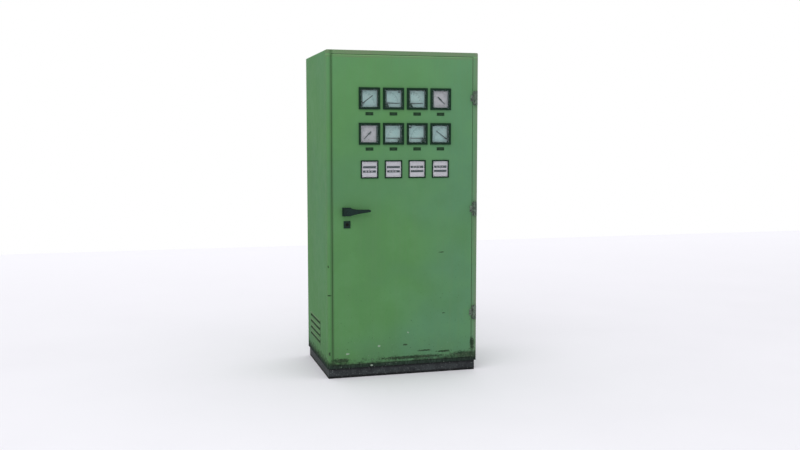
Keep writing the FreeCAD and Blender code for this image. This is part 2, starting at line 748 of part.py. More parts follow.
def make_pointers():
    """One pointer per meter. Its arm points to +X before it is turned to its reading."""
    plane = "%s - meter_proud + meter_dial_depth - 4" % FRONT
    arm = new_body("pointer_arm")
    slab(arm, "y", plane, plane + " + 0.6",
         ("polygon", [("0 - pointer_tail", "0 - pointer_half"), ("0", "0 - pointer_half"),
                      ("pointer_length", "0 - pointer_tip_half"),
                      ("pointer_length", "pointer_tip_half"),
                      ("0", "pointer_half"), ("0 - pointer_tail", "pointer_half")]))
    hub = round_bar("pointer_hub", "y", "0", (plane + " - 1", plane + " + 1.6"), "0",
                    "pointer_hub_radius")
    corner_pointer = join("pointer_corner", arm, hub)
    short = new_body("pointer_short_arm")
    slab(short, "y", plane, plane + " + 0.6",
         ("polygon", [("-14", "-3.2"), ("-3", "0 - pointer_half"), ("32", "0 - pointer_tip_half"),
                      ("32", "pointer_tip_half"), ("-3", "pointer_half"), ("-14", "3.2")]))
    short_hub = round_bar("pointer_short_hub", "y", "0", (plane + " - 1", plane + " + 1.6"), "0",
                          "pointer_hub_radius")
    centre_pointer = join("pointer_centre", short, short_hub)
    doc.recompute()
    reading = number("pointer_reading")
    across, drop = number("meter_hub_x"), number("meter_hub_drop")
    left, right, middle = (-across, -drop), (across, -drop), (0, 0)
    kinds = [(corner_pointer, left, reading), (corner_pointer, left, 0),
             (corner_pointer, left, 0), (centre_pointer, middle, -45),
             (centre_pointer, middle, 225), (corner_pointer, right, 180),
             (corner_pointer, right, 180), (corner_pointer, right, 180 - reading)]
    pointers = []
    for i, ((master, (x, z), angle), (column, row)) in enumerate(zip(kinds, meter_places())):
        pointer = doc.addObject("Part::Feature", "pointer_%d" % (i + 1))
        pointer.Shape = master.Shape.copy()
        turn = FreeCAD.Rotation(Vector(0, -1, 0), angle)
        pointer.Placement = FreeCAD.Placement(Vector(column + x, 0, row + z), turn)
        pointers.append(pointer)
    return pointers


def make_reed_meters():
    places = [(x, 0, number("reed_row")) for x in meter_columns()]
    case = make_case("reed_case", "reed_bezel", "reed_proud", "reed_body", "reed_inside",
                     "reed_depth", "3")
    half = "(reed_inside / 2)"
    face_front = "%s - reed_proud + 4.5" % FRONT
    face = new_body("reed_face")
    slab(face, "y", face_front, face_front + " + 1",
         ("rectangle", "0 - " + half, half, "0 - " + half, half))
    slot_x, slot_z = "reed_slot_length / 2", "reed_slot_height / 2"
    slots = [("rectangle", "0 - " + slot_x, slot_x, "%s * reed_slot_offset - %s" % (side, slot_z),
              "%s * reed_slot_offset + %s" % (side, slot_z)) for side in ("(-1)", "1")]
    slab(face, "y", face_front, face_front + " + 1", *slots, cut=True)
    reed = block("reed", ("-1.1", "1.1"), (face_front + " + 1.5", "%s + 20" % FRONT),
                 ("-1.6", "1.6"))
    comb = block("reed_comb", ("0 - " + slot_x, slot_x), ("%s + 20" % FRONT, "%s + 30" % FRONT),
                 ("-16", "16"))
    doc.recompute()
    count = int(number("reed_count"))
    pitch = number("reed_slot_length / reed_count")
    offset = number("reed_slot_offset")
    tongues = [reed.Shape.translated(Vector(x, 0, z)) for x in spread(count, pitch)
               for z in (-offset, offset)]
    set_of_reeds = comb.Shape.fuse(tongues)
    reeds = doc.addObject("Part::Feature", "reed_tongues")
    reeds.Shape = Part.makeCompound([set_of_reeds.translated(Vector(*place)) for place in places])
    return [repeat("reed_meter_cases", case, places),
            repeat("reed_meter_faces", face, places),
            reeds]


def make_windows():
    """The glass panes of the large meters and of the reed meters."""
    def pane(label, half, front, thick):
        return block(label, ("0 - " + half, half), (front, "%s + %s" % (front, thick)),
                     ("0 - " + half, half))
    large = pane("meter_pane", "meter_inside / 2", "%s - meter_proud + meter_window_depth" % FRONT,
                 "meter_glass")
    small = pane("reed_pane", "reed_inside / 2", "%s - reed_proud + reed_window_depth" % FRONT,
                 "reed_glass")
    doc.recompute()
    reed_row = number("reed_row")
    panes = [large.Shape.translated(Vector(x, 0, z)) for x, z in meter_places()]
    panes += [small.Shape.translated(Vector(x, 0, reed_row)) for x in meter_columns()]
    windows = doc.addObject("Part::Feature", "instrument_windows")
    windows.Shape = Part.makeCompound(panes)
    return windows


# ---------------------------------------------------------------- handle, latch and lock
def make_handle():
    base_front = "%s - handle_base_thick" % FRONT
    lever_back = "%s - handle_base_thick - 0.3" % FRONT
    lever_front = lever_back + " - handle_thick"
    half = "handle_base_size / 2"
    plate = block("handle_base_plate", ("handle_x - " + half, "handle_x + " + half),
                  (base_front, FRONT), ("handle_z - " + half, "handle_z + " + half))
    neck = round_bar("handle_base_neck", "y", "handle_x",
                     (FRONT, "%s + 12" % FRONT), "handle_z", "spindle_radius + 1")
    nut = round_bar("handle_base_nut", "y", "handle_x", ("%s + sheet_steel" % FRONT, "%s + 9" % FRONT),
                    "handle_z", "spindle_radius + 6")
    bore = round_bar("handle_base_bore", "y", "handle_x", (less(base_front, "1"), "%s + 20" % FRONT),
                     "handle_z", "spindle_radius + running_play")
    base = remove("handle_base", join("handle_base_solid", plate, neck, nut), bore)

    lever = new_body("handle_lever")
    outline = [(-17, 14), (-14, 17), (16, 17), (30, 12.8), (55, 10), (97, 10), (105, 7), (109, 3),
               (104, -1), (90, -3.4), (55, -7.8), (28, -13), (16, -17), (-14, -17), (-17, -14)]
    slab(lever, "y", lever_front, lever_back,
         ("polygon", [("handle_x + (%g)" % x, "handle_z + (%g)" % z) for x, z in outline]))
    slab(lever, "y", lever_back + " - 7", lever_back,
         ("rectangle", "handle_x + 19", "handle_x + 115", "handle_z - 25", "handle_z + 25"),
         cut=True)
    spindle_hole = ("circle", "handle_x", "handle_z", "spindle_radius")
    slab(lever, "y", lever_back + " - 10", lever_back, spindle_hole, cut=True)

    spindle = round_bar("handle_spindle", "y", "handle_x",
                        (lever_back + " - 10", "%s + rod_thick + 4" % ROD_FRONT), "handle_z",
                        "spindle_radius")
    return [base, lever, spindle, make_pinion()]


def pinion_outline():
    """Involute teeth, thinned at the pitch circle to leave play in the racks."""
    module, teeth = number("pinion_module"), int(number("pinion_teeth"))
    pitch_radius = module * teeth / 2
    base_radius = pitch_radius * math.cos(math.radians(20))
    tip_radius, root_radius = pitch_radius + 0.9 * module, pitch_radius - 1.25 * module

    def roll(radius):
        return math.sqrt(max(0, (radius / base_radius) ** 2 - 1)) if radius > base_radius else 0

    def involute(radius):
        turn = roll(radius)
        return turn - math.atan(turn)
    half_tooth = (math.pi / 2 - 0.25) / teeth
    steps = [root_radius] + [base_radius + (tip_radius - base_radius) * i / 5 for i in range(6)]
    points = []
    for tooth in range(teeth):
        centre = 2 * math.pi * tooth / teeth
        for radii, side in ((steps, -1), (steps[::-1], 1)):
            for radius in radii:
                angle = centre + side * (half_tooth + involute(pitch_radius) - involute(radius))
                points.append(Vector(radius * math.cos(angle), 0, radius * math.sin(angle)))
    return points


def make_pinion():
    points = pinion_outline()
    face = Part.Face(Part.makePolygon(points + points[:1]))
    gear = face.extrude(Vector(0, number("rod_thick"), 0))
    middle = Vector(number("handle_x"), number(ROD_FRONT), number("handle_z"))
    bore = Part.makeCylinder(number("spindle_radius"), 20, Vector(0, -5, 0), Vector(0, 1, 0))
    pinion = doc.addObject("Part::Feature", "latch_pinion")
    pinion.Shape = gear.cut(bore)
    pinion.Placement = FreeCAD.Placement(middle, FreeCAD.Rotation())
    return pinion


def rack_outline(side, far_end):
    """A flat rod with rack teeth beside the pinion. A space faces the pinion's middle."""
    module = number("pinion_module")
    pitch = math.pi * module
    pitch_line = module * number("pinion_teeth") / 2
    flank = math.tan(math.radians(20))
    root = pitch_line + 1.2 * module
    back = root + number("rod_width")
    tip = pitch_line - 0.85 * module
    half_tooth = pitch / 4 - 0.2
    points = []
    for i in range(-5, 5):
        centre = (i + 0.5) * pitch
        for radius, sign in ((root, -1), (tip, -1), (tip, 1), (root, 1)):
            height = half_tooth - (pitch_line - radius) * flank
            points.append((radius, centre + sign * height))
    start, end = -5 * pitch, 5 * pitch
    if far_end > 0:
        points = [(root, start)] + points + [(root, far_end), (back, far_end), (back, start)]
    else:
        points = [(back, end), (back, far_end), (root, far_end)] + points + [(root, end)]
    return [Vector(side * across, 0, up) for across, up in points]


def make_rods():
    middle = Vector(number("handle_x"), number(ROD_FRONT), number("handle_z"))
    rods = []
    for label, side, end in (("upper_latch_rod", 1, "rod_top"), ("lower_latch_rod", -1, "rod_bottom")):
        points = rack_outline(side, number(end + " - handle_z"))
        face = Part.Face(Part.makePolygon(points + points[:1]))
        rod = doc.addObject("Part::Feature", label)
        rod.Shape = face.extrude(Vector(0, number("rod_thick"), 0))
        rod.Placement = FreeCAD.Placement(middle, FreeCAD.Rotation())
        rods.append(rod)
    return rods


def make_rod_guides():
    near = "%s + sheet_steel" % FRONT
    far = "%s + rod_thick + 4" % ROD_FRONT
    centre = "(pinion_module * (pinion_teeth / 2 + 1.2) + rod_width / 2)"
    guides = []
    for i, (side, height) in enumerate((("1", 900), ("1", 1340), ("(-1)", 600), ("(-1)", 150))):
        x = "(handle_x + %s * %s)" % (side, centre)
        outer = block("guide_outer_%d" % i, (x + " - rod_width / 2 - 5", x + " + rod_width / 2 + 5"),
                      (near, far), ("%d - 7" % height, "%d + 7" % height))
        slot = block("guide_slot_%d" % i,
                     (x + " - rod_width / 2 - 0.3", x + " + rod_width / 2 + 0.3"),
                     (ROD_FRONT + " - 0.3", ROD_FRONT + " + rod_thick + 0.3"),
                     ("%d - 9" % height, "%d + 9" % height))
        guides.append(remove("guide_%d" % i, outer, slot))
    return group("rod_guides", *guides)


def make_lock():
    plate_front = "%s - lock_plate_thick" % FRONT
    plate = block("lock_plate", ("lock_x - lock_plate_x / 2", "lock_x + lock_plate_x / 2"),
                  (plate_front, FRONT), ("lock_z - lock_plate_z / 2", "lock_z + lock_plate_z / 2"))
    barrel = round_bar("lock_barrel", "y", "lock_x", (FRONT, "%s + 26" % FRONT), "lock_z",
                       "lock_core_radius + 4")
    nut = round_bar("lock_nut", "y", "lock_x", ("%s + sheet_steel" % FRONT, "%s + 7" % FRONT),
                    "lock_z", "lock_core_radius + 8")
    bore = round_bar("lock_bore", "y", "lock_x", (plate_front + " - 1", "%s + 27" % FRONT),
                     "lock_z", "lock_core_radius + running_play")
    housing = remove("lock_housing", join("lock_solid", plate, barrel, nut), bore)
    plug = round_bar("lock_plug", "y", "lock_x", (plate_front + " - 0.8", "%s + 26" % FRONT),
                     "lock_z", "lock_core_radius")
    stud = round_bar("lock_stud", "y", "lock_x", ("%s + 26" % FRONT, "%s + 30" % FRONT),
                     "lock_z", "5")
    keyway = block("lock_keyway", ("lock_x - 0.8", "lock_x + 0.8"),
                   (plate_front + " - 2", plate_front + " + 5"), ("lock_z - 4", "lock_z + 4"))
    core = remove("lock_core", join("lock_core_solid", plug, stud), keyway)
    arm = block("tongue_arm", ("lock_x - 8", "lock_x + 8"), ("%s + 27" % FRONT, "%s + 29.5" % FRONT),
                ("lock_z - lock_tongue_length", "lock_z"))
    round_end = round_bar("tongue_end", "y", "lock_x", ("%s + 27" % FRONT, "%s + 29.5" % FRONT),
                          "lock_z", "8")
    hole = round_bar("tongue_hole", "y", "lock_x", ("%s + 25" % FRONT, "%s + 33" % FRONT),
                     "lock_z", "5")
    tongue = remove("lock_tongue", join("tongue_solid", arm, round_end), hole)
    return [housing, core, tongue]


# ---------------------------------------------------------------- inside
def make_mounting_plate():
    plate = new_body("mounting_plate")
    half = "(plate_width / 2)"
    slab(plate, "y", "plate_front", "plate_front + plate_steel",
         ("rectangle", "0 - " + half, half, "plate_bottom", "plate_top"))
    return plate


def make_rails():
    """Top-hat rails on the mounting plate."""
    rails = []
    half = "rail_width / 2"
    for i, height in enumerate(("rail_high", "rail_middle", "rail_low")):
        rail = new_body("rail_%d" % i)
        back, front, steel = "plate_front", RAIL_FRONT, "rail_steel"
        inner, foot = "(rail_width / 2 - 4)", "(rail_width / 2 - 5)"
        profile = [(front, height + " - " + half), (front + " + " + steel, height + " - " + half),
                   (front + " + " + steel, "%s - %s" % (height, inner)),
                   (back, "%s - %s" % (height, inner)), (back, "%s + %s" % (height, inner)),
                   (front + " + " + steel, "%s + %s" % (height, inner)),
                   (front + " + " + steel, height + " + " + half), (front, height + " + " + half),
                   (front, "%s + %s" % (height, foot)),
                   (less(back, steel), "%s + %s" % (height, foot)),
                   (less(back, steel), "%s - %s" % (height, foot)),
                   (front, "%s - %s" % (height, foot))]
        slab(rail, "x", "-240", "240", ("polygon", profile))
        rails.append(rail)
    return group("din_rails", *rails)


def duct_runs():
    """Wiring ducts as (x range, z range)."""
    side, wide = "plate_width / 2", "duct_width"
    runs = [(("0 - %s" % side, "%s - %s" % (wide, side)), ("plate_bottom + 10", "plate_top - 10")),
            (("%s - %s" % (side, wide), side), ("plate_bottom + 10", "plate_top - 10"))]
    span = ("%s - %s" % (wide, side), "%s - %s" % (side, wide))
    for low in (1340, 980, 640, 300):
        runs.append((span, (str(low), "%d + %s" % (low, wide))))
    return runs


def make_ducts():
    ducts, lids = [], []
    front = "plate_front - duct_depth"
    for i, (x, z) in enumerate(duct_runs()):
        upright = i < 2
        outer = block("duct_outer_%d" % i, x, (front, "plate_front"), z)
        if upright:
            inner_x, inner_z = (plus(x[0], "duct_wall"), less(x[1], "duct_wall")), z
        else:
            inner_x, inner_z = x, (plus(z[0], "duct_wall"), less(z[1], "duct_wall"))
        inner = block("duct_inner_%d" % i, inner_x, (front + " - 1", "plate_front - duct_wall"),
                      inner_z)
        ducts.append(remove("duct_%d" % i, outer, inner))
        lids.append(block("duct_lid_%d" % i, x, (front + " - duct_wall", front), z))
    return [group("wire_ducts", *ducts), group("wire_duct_lids", *lids)]


def make_breaker(label, x, z, size, drum):
    """A breaker body with a recess for its toggle, and the toggle on its own drum."""
    width, height, depth = size
    length, radius, sunk = drum
    back = "plate_front" if label == "main_breaker" else RAIL_FRONT
    front = "%s - %g" % (back, depth)
    axis_y = "%s + %g" % (front, sunk)
    body = block(label + "_body", ("%g" % (x - width / 2), "%g" % (x + width / 2)), (front, back),
                 ("%g" % (z - height / 2), "%g" % (z + height / 2)))
    recess = round_bar(label + "_recess", "x", ("%g" % (x - length / 2 - 0.4),
                                                "%g" % (x + length / 2 + 0.4)),
                       axis_y, "%g" % z, "%g" % (radius + 0.4))
    breaker = remove(label, body, recess)
    dolly = new_body(label + "_dolly")
    slope = 0.45
    reach = radius + 14
    slab(dolly, "x", "%g" % (x - length * 0.3), "%g" % (x + length * 0.3),
         ("polygon", [(axis_y, "%g - 3" % z), ("%s - %g" % (axis_y, reach), "%g" % (z + slope * reach - 3)),
                      ("%s - %g" % (axis_y, reach), "%g" % (z + slope * reach + 3)),
                      (axis_y, "%g + 3" % z)]))
    barrel = round_bar(label + "_drum", "x", ("%g" % (x - length / 2), "%g" % (x + length / 2)),
                       axis_y, "%g" % z, "%g" % radius)
    toggle = join(label + "_toggle", barrel, dolly)
    return [breaker, toggle]


def make_current_transformers():
    bars, rings, posts = [], [], []
    for i, x in enumerate((-182.5, -147.5, -112.5)):
        bars.append(block("bar_%d" % i, ("%g" % (x - 10), "%g" % (x + 10)), ("150", "154"),
                          ("1030", "1150")))
        outer = block("ring_outer_%d" % i, ("%g" % (x - 16.5), "%g" % (x + 16.5)),
                      ("132", "plate_front"), ("1065", "1115"))
        hole = block("ring_hole_%d" % i, ("%g" % (x - 10.5), "%g" % (x + 10.5)), ("149.5", "154.5"),
                     ("1060", "1120"))
        rings.append(remove("ring_%d" % i, outer, hole))
        posts.append(round_bar("insulator_%d" % i, "y", "%g" % x, ("154", "plate_front"), "1042",
                               "10"))
    return [group("busbars", *bars), group("current_transformers", *rings),
            group("busbar_insulators", *posts)]


def make_control_transformer():
    stack = block("core_stack", ("60", "156"), ("148", "178"), ("1120", "1200"))
    feet = [block("core_foot_%d" % i, ("%d" % low, "%d" % (low + 14)), ("178", "plate_front"),
                  ("1120", "1200")) for i, low in enumerate((60, 142))]
    windows = [block("core_window_%d" % i, ("%d" % low, "%d" % (low + 16)), ("147", "179"),
                     ("1136", "1184")) for i, low in enumerate((76, 124))]
    core = remove("transformer_core", join("core_solid", stack, *feet), *windows)
    outer = block("coil_outer", ("76.5", "139.5"), ("138", "188"), ("1136.5", "1183.5"))
    leg = block("coil_leg", ("91.5", "124.5"), ("147.5", "178.5"), ("1130", "1190"))
    coil = remove("transformer_coil", outer, leg)
    return [core, coil]


def make_relays():
    sockets, relays = [], []
    for i, x in enumerate(spread(4, 34)):
        x = x - 40
        sockets.append(block("socket_%d" % i, ("%g" % (x - 14), "%g" % (x + 14)),
                             (RAIL_FRONT + " - 28", RAIL_FRONT), ("792", "868")))
        relays.append(block("relay_%d" % i, ("%g" % (x - 13), "%g" % (x + 13)),
                            (RAIL_FRONT + " - 80", RAIL_FRONT + " - 28"), ("812", "848")))
    return [group("relay_sockets", *sockets), group("relays", *relays)]


def make_terminals():
    """Stepped terminal blocks on the middle rail."""
    master = new_body("terminal")
    half = "(terminal_pitch / 2 - 0.15)"
    deep, mid = RAIL_FRONT + " - 42", RAIL_FRONT + " - 30"
    slab(master, "x", "0 - " + half, half,
         ("polygon", [(RAIL_FRONT, "rail_middle - 27"), (RAIL_FRONT, "rail_middle + 27"),
                      (mid, "rail_middle + 27"), (mid, "rail_middle + 16"),
                      (deep, "rail_middle + 16"), (deep, "rail_middle - 16"),
                      (mid, "rail_middle - 16"), (mid, "rail_middle - 27")]))
    count, pitch = int(number("terminal_count")), number("terminal_pitch")
    return repeat("terminal_blocks", master, [(x, 0, 0) for x in spread(count, pitch)])


def make_earth_bar():
    bar = block("earth_strip", ("-110", "110"), ("150", "156"), ("205", "225"))
    legs = [block("earth_leg_%d" % i, ("%d" % low, "%d" % (low + 12)), ("156", RAIL_FRONT),
                  ("205", "225")) for i, low in enumerate((-110, 98))]
    holes = [round_bar("earth_hole_%d" % i, "y", "%g" % x, ("149", "157"), "215", "2.7")
             for i, x in enumerate(spread(10, 18))]
    return remove("earth_bar", join("earth_solid", bar, *legs), *holes)


# ---------------------------------------------------------------- build and write
NODES = [make_plinth(), make_shell(), make_door_frame(), make_rear_frame(), make_louvres(),
         make_rear_panel(), make_gland_plate(), make_glands(), make_screws(), make_mounting_plate(),
         make_rails()]
NODES += make_ducts()
NODES += make_breaker("main_breaker", -147.5, 1230, (105, 160, 90), (30, 13, 8))
NODES += make_breaker("control_breaker", 150, 830, (54, 85, 65), (40, 9, 5))
NODES += make_current_transformers() + make_control_transformer() + make_relays()
NODES += [make_terminals(), make_earth_bar()]
NODES += [make_door(), make_gasket(), make_stiffeners(), make_labels(), make_rod_guides()]
NODES += make_hinges() + make_handle() + make_rods() + make_lock()
NODES += make_meters() + [make_hub_covers()] + make_pointers() + make_reed_meters()
NODES += [make_windows()]


def check():
    doc.recompute()
    for thing in doc.Objects:
        if {"Invalid", "Error"} & set(thing.State):
            raise RuntimeError("%s failed: %s" % (thing.Label, thing.State))
    for node in NODES:
        shape = node.Shape
        if shape.isNull() or not shape.isValid() or not shape.Solids:
            raise RuntimeError("%s has no sound shape" % node.Label)


check()
os.makedirs("parts", exist_ok=True)
for node in NODES:
    node.Shape.exportStep("parts/%s.step" % node.Label)
print("%d nodes written" % len(NODES))
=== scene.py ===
"""Looks of a free-standing control cabinet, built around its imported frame. Metres, the frame's axes."""
import bmesh
import bpy
import json
import math
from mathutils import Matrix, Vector

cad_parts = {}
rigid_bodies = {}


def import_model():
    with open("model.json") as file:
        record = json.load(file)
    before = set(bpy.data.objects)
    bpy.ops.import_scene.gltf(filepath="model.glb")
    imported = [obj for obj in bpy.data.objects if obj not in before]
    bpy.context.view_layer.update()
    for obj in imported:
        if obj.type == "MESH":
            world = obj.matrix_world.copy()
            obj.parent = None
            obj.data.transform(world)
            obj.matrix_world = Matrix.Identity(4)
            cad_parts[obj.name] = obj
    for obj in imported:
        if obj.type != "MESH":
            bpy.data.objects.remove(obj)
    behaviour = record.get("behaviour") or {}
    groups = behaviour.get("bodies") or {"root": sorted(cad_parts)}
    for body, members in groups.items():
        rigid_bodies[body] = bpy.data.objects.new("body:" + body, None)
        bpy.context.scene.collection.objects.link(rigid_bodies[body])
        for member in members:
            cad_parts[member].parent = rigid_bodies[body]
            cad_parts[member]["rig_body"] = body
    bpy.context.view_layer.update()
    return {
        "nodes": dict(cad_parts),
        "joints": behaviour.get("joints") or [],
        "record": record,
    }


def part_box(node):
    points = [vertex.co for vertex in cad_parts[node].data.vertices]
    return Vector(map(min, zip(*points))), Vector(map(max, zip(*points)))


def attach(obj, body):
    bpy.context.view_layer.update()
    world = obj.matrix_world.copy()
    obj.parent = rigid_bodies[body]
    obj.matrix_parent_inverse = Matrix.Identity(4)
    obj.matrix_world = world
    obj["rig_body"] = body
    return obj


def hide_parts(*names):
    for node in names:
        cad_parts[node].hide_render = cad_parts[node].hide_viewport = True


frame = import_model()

bl_info = {
    "name": "Control Cabinet Finish",
    "version": (1, 0, 0),
    "blender": (4, 5, 0),
    "location": "View3D > Sidebar > Cabinet",
    "description": "Paints and details a sheet-steel control cabinet",
    "category": "Object",
}

NODES = frame["nodes"]
RECORD = frame["record"]
SLOT_OF = {part["node"]: part["material_slot"] for part in RECORD["subparts"]}
JOINT_AT = {joint["name"]: Vector(joint["pos_m"]) for joint in frame["joints"] if "pos_m" in joint}
MM = 0.001
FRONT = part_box("door_panel")[0].y

METER_HALF = 48 * MM
CASES_LOW, CASES_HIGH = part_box("meter_cases")
COLUMN_PITCH = (CASES_HIGH.x - CASES_LOW.x - 2 * METER_HALF) / 3
COLUMNS = [CASES_LOW.x + METER_HALF + i * COLUMN_PITCH for i in range(4)]
ROWS = [CASES_HIGH.z - METER_HALF, CASES_LOW.z + METER_HALF]
METERS = [(x, z) for z in ROWS for x in COLUMNS]
DIAL_LOW, DIAL_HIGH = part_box("meter_dials")
REED_LOW, REED_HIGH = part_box("reed_meter_cases")
REED_Z = (REED_LOW.z + REED_HIGH.z) / 2
# Meters by their place from the top left: those with a pivot at the centre, and those with a badge.
CENTRE_METERS = (3, 4)
BADGED_METERS = (1, 6)

# Sizes and counts of the details that only the finish models. A dial step is the value between two
# numerals, and the funnels slope more in the upper row than in the lower one.
DIAL_STEPS = (10, 5, 20, 0, 0, 20, 5, 10)
DIAL_HALF = 38.8 * MM
CASE_REAR_HALF = 45 * MM
# The funnels' wider pivot-side slope stands in for painted shade inside the meter windows.
FUNNEL_SLOPES = (10 * MM, 4.5 * MM)
PRINT_LIFT = 0.06 * MM

REED_BEZEL_HALF = 40 * MM
REED_REAR_HALF = 37.5 * MM
REED_LIP = 5.2 * MM
REED_ROW_LENGTH = 57 * MM
REED_ROW_OFFSET = 9.5 * MM
REED_COUNT = 13
REED_PITCH = REED_ROW_LENGTH / REED_COUNT

VENT_FOOT = 4 * MM
VENT_PITCH = 30 * MM
VENT_SLOT = 14 * MM
LIP_REACH = 1.8 * MM
LIP_HEIGHT = 6 * MM
HINGE_LEAF = 62 * MM
BEAD_RADIUS = 1.7 * MM
BEAD_STEP = 2.2 * MM
LABEL_HALF = (17.5 * MM, 7 * MM)
BUSBAR_WIDTH = 20 * MM
RELAY_WIDTH = 26 * MM
SOCKET_SCREW_REACH = 29 * MM
SOCKET_SCREW_PITCH = 7.5 * MM
TERMINAL_PITCH = 8.2 * MM
TERMINAL_SCREW_REACH = 21 * MM
EARTH_SCREW_PITCH = 18 * MM
EARTH_SCREW_COUNT = 10
DUCT_WIDTH = 40 * MM
DUCT_LEVELS = tuple(level * MM for level in (1340, 980, 640, 300))
DUCT_WALL = 1.5 * MM
DUCT_SLOT_PITCH = 12.5 * MM
DUCT_SLOT_HALF = 3 * MM
GLAND_COUNT = 4
GLAND_THREADS = 7


def srgb(red, green, blue):
    """A given colour, as linear light."""
    def linear(value):
        return value / 12.92 if value <= 0.04045 else ((value + 0.055) / 1.055) ** 2.4
    return tuple(linear(value / 255) for value in (red, green, blue)) + (1.0,)


def times(color, factor):
    return tuple(min(1, channel * factor) for channel in color[:3]) + (1.0,)


# ---------------------------------------------------------------- settings
class CabinetPaint(bpy.types.PropertyGroup):
    """Colours and wear of the enamel."""
    enamel: bpy.props.FloatVectorProperty(
        name="Enamel", description="Colour of the sound paint", subtype="COLOR", size=4,
        default=srgb(88, 133, 89), min=0, max=1)
    grime_height: bpy.props.FloatProperty(
        name="Grime height", description="How far dirt climbs from the floor",
        default=0.125, min=0, max=1, subtype="DISTANCE")
    wear_width: bpy.props.FloatProperty(
        name="Edge wear", description="Width of the rubbed band along bends",
        default=0.007, min=0, max=0.02, subtype="DISTANCE")


class CabinetMeters(bpy.types.PropertyGroup):
    """Sizes of the panel instruments' visible parts."""
    lip: bpy.props.FloatProperty(
        name="Bezel width", description="Width of the bezel round the glass",
        default=9 * MM, min=0.004, max=0.02, subtype="DISTANCE")
    scale_radius: bpy.props.FloatProperty(
        name="Scale radius", description="Radius of the quadrant scales about their pivots",
        default=50 * MM, min=0.03, max=0.06, subtype="DISTANCE")
    numeral: bpy.props.FloatProperty(
        name="Numeral height", description="Size of the numbers on the dials",
        default=7 * MM, min=0.002, max=0.012, subtype="DISTANCE")


class CabinetStage(bpy.types.PropertyGroup):
    """Camera: its place, turn, tilt and lens."""
    eye: bpy.props.FloatVectorProperty(
        name="Camera place", description="Where the camera stands", subtype="TRANSLATION",
        default=(-1.1275, -4.2944, 1.0708))
    turn: bpy.props.FloatProperty(
        name="Camera turn", description="Turn of the view about the upright", subtype="ANGLE",
        default=math.radians(-15.366))
    tilt: bpy.props.FloatProperty(
        name="Camera tilt", description="How far the view looks down", subtype="ANGLE",
        default=math.radians(5.262))
    lens: bpy.props.FloatProperty(name="Lens", description="Focal length", default=42.2, min=10)


# ---------------------------------------------------------------- materials
class Finish:
    """A material's node tree, filled a node at a time."""

    def __init__(self, name):
        self.material = bpy.data.materials.new(name)
        self.material.use_nodes = True
        self.tree = self.material.node_tree
        self.shader = self.tree.nodes["Principled BSDF"]
        self.place = self.node("TexCoord").outputs["Object"]

    def node(self, kind, inputs=None, **settings):
        made = self.tree.nodes.new("ShaderNode" + kind)
        for key, value in settings.items():
            setattr(made, key, value)
        for key, value in (inputs or {}).items():
            self.feed(made.inputs[key], value)
        return made

    def feed(self, socket, value):
        if isinstance(value, bpy.types.NodeSocket):
            self.tree.links.new(value, socket)
        else:
            socket.default_value = value

    def set(self, **inputs):
        for key, value in inputs.items():
            self.feed(self.shader.inputs[key.replace("_", " ")], value)

    def stretch(self, x, y, z, move=(0, 0, 0)):
        """The place, scaled on each axis and then moved, for grain that runs one way."""
        return self.node("Mapping", {"Vector": self.place, "Scale": (x, y, z),
                                     "Location": move}).outputs[0]

    def noise(self, scale, detail, roughness, place=None):
        made = self.node("TexNoise", {"Vector": place or self.place, "Scale": scale,
                                      "Detail": detail, "Roughness": roughness})
        return made.outputs["Fac"]

    def spots(self, scale):
        made = self.node("TexVoronoi", {"Vector": self.place, "Scale": scale})
        return made.outputs["Distance"]

    def ramp(self, value, *stops):
        """Map a value through stops of position and grey or colour."""
        made = self.node("ValToRGB", {"Fac": value})
        marks = made.color_ramp.elements
        while len(marks) < len(stops):
            marks.new(0.5)
        for mark, (position, grey) in zip(marks, stops):
            mark.position = position
            mark.color = (grey, grey, grey, 1) if isinstance(grey, (int, float)) else grey
        return made.outputs["Color"]

    def span(self, value, low, high, new_low=0.0, new_high=1.0):
        made = self.node("MapRange", {"Value": value, "From Min": low, "From Max": high,
                                      "To Min": new_low, "To Max": new_high})
        return made.outputs["Result"]

    def math(self, operation, first, second):
        return self.node("Math", {0: first, 1: second}, operation=operation).outputs[0]

    def both(self, first, second):
        return self.math("MULTIPLY", first, second)

    def blend(self, share, first, second):
        made = self.node("Mix", data_type="RGBA")
        for index, value in ((0, share), (6, first), (7, second)):
            self.feed(made.inputs[index], value)
        return made.outputs[2]

    def axes(self):
        return self.node("SeparateXYZ", {"Vector": self.place}).outputs

    def edges(self, width):
        """1 on sharp edges and 0 on flats, by how far a rounded normal leans."""
        soft = self.node("Bevel", {"Radius": width}, samples=6).outputs[0]
        plain = self.node("NewGeometry").outputs["Normal"]
        made = self.node("VectorMath", {0: soft, 1: plain}, operation="DOT_PRODUCT")
        return self.span(made.outputs["Value"], 0.995, 0.80)

    def mark(self, centre, reach, raggedness):
        """1 inside an uneven patch about a point of the object, and 0 away from it."""
        scale = [1 / length for length in reach]
        move = [-place / length for place, length in zip(centre, reach)]
        near = self.node("VectorMath", {0: self.stretch(*scale, move=move)}, operation="LENGTH")
        ragged = self.span(self.noise(raggedness, 5, 0.7), 0.3, 0.7, -0.55, 0.55)
        return self.ramp(self.math("ADD", near.outputs["Value"], ragged), (0.75, 1), (1.0, 0))

    def band(self, value, middle, half, soft):
        """1 within a stretch about a middle value, falling to 0 over a soft border."""
        away = self.math("ABSOLUTE", self.math("SUBTRACT", value, middle), 0)
        return self.span(away, half, half + soft, 1, 0)

    def bump(self, height, strength, distance):
        made = self.node("Bump", {"Height": height, "Strength": strength, "Distance": distance})
        self.feed(self.shader.inputs["Normal"], made.outputs[0])


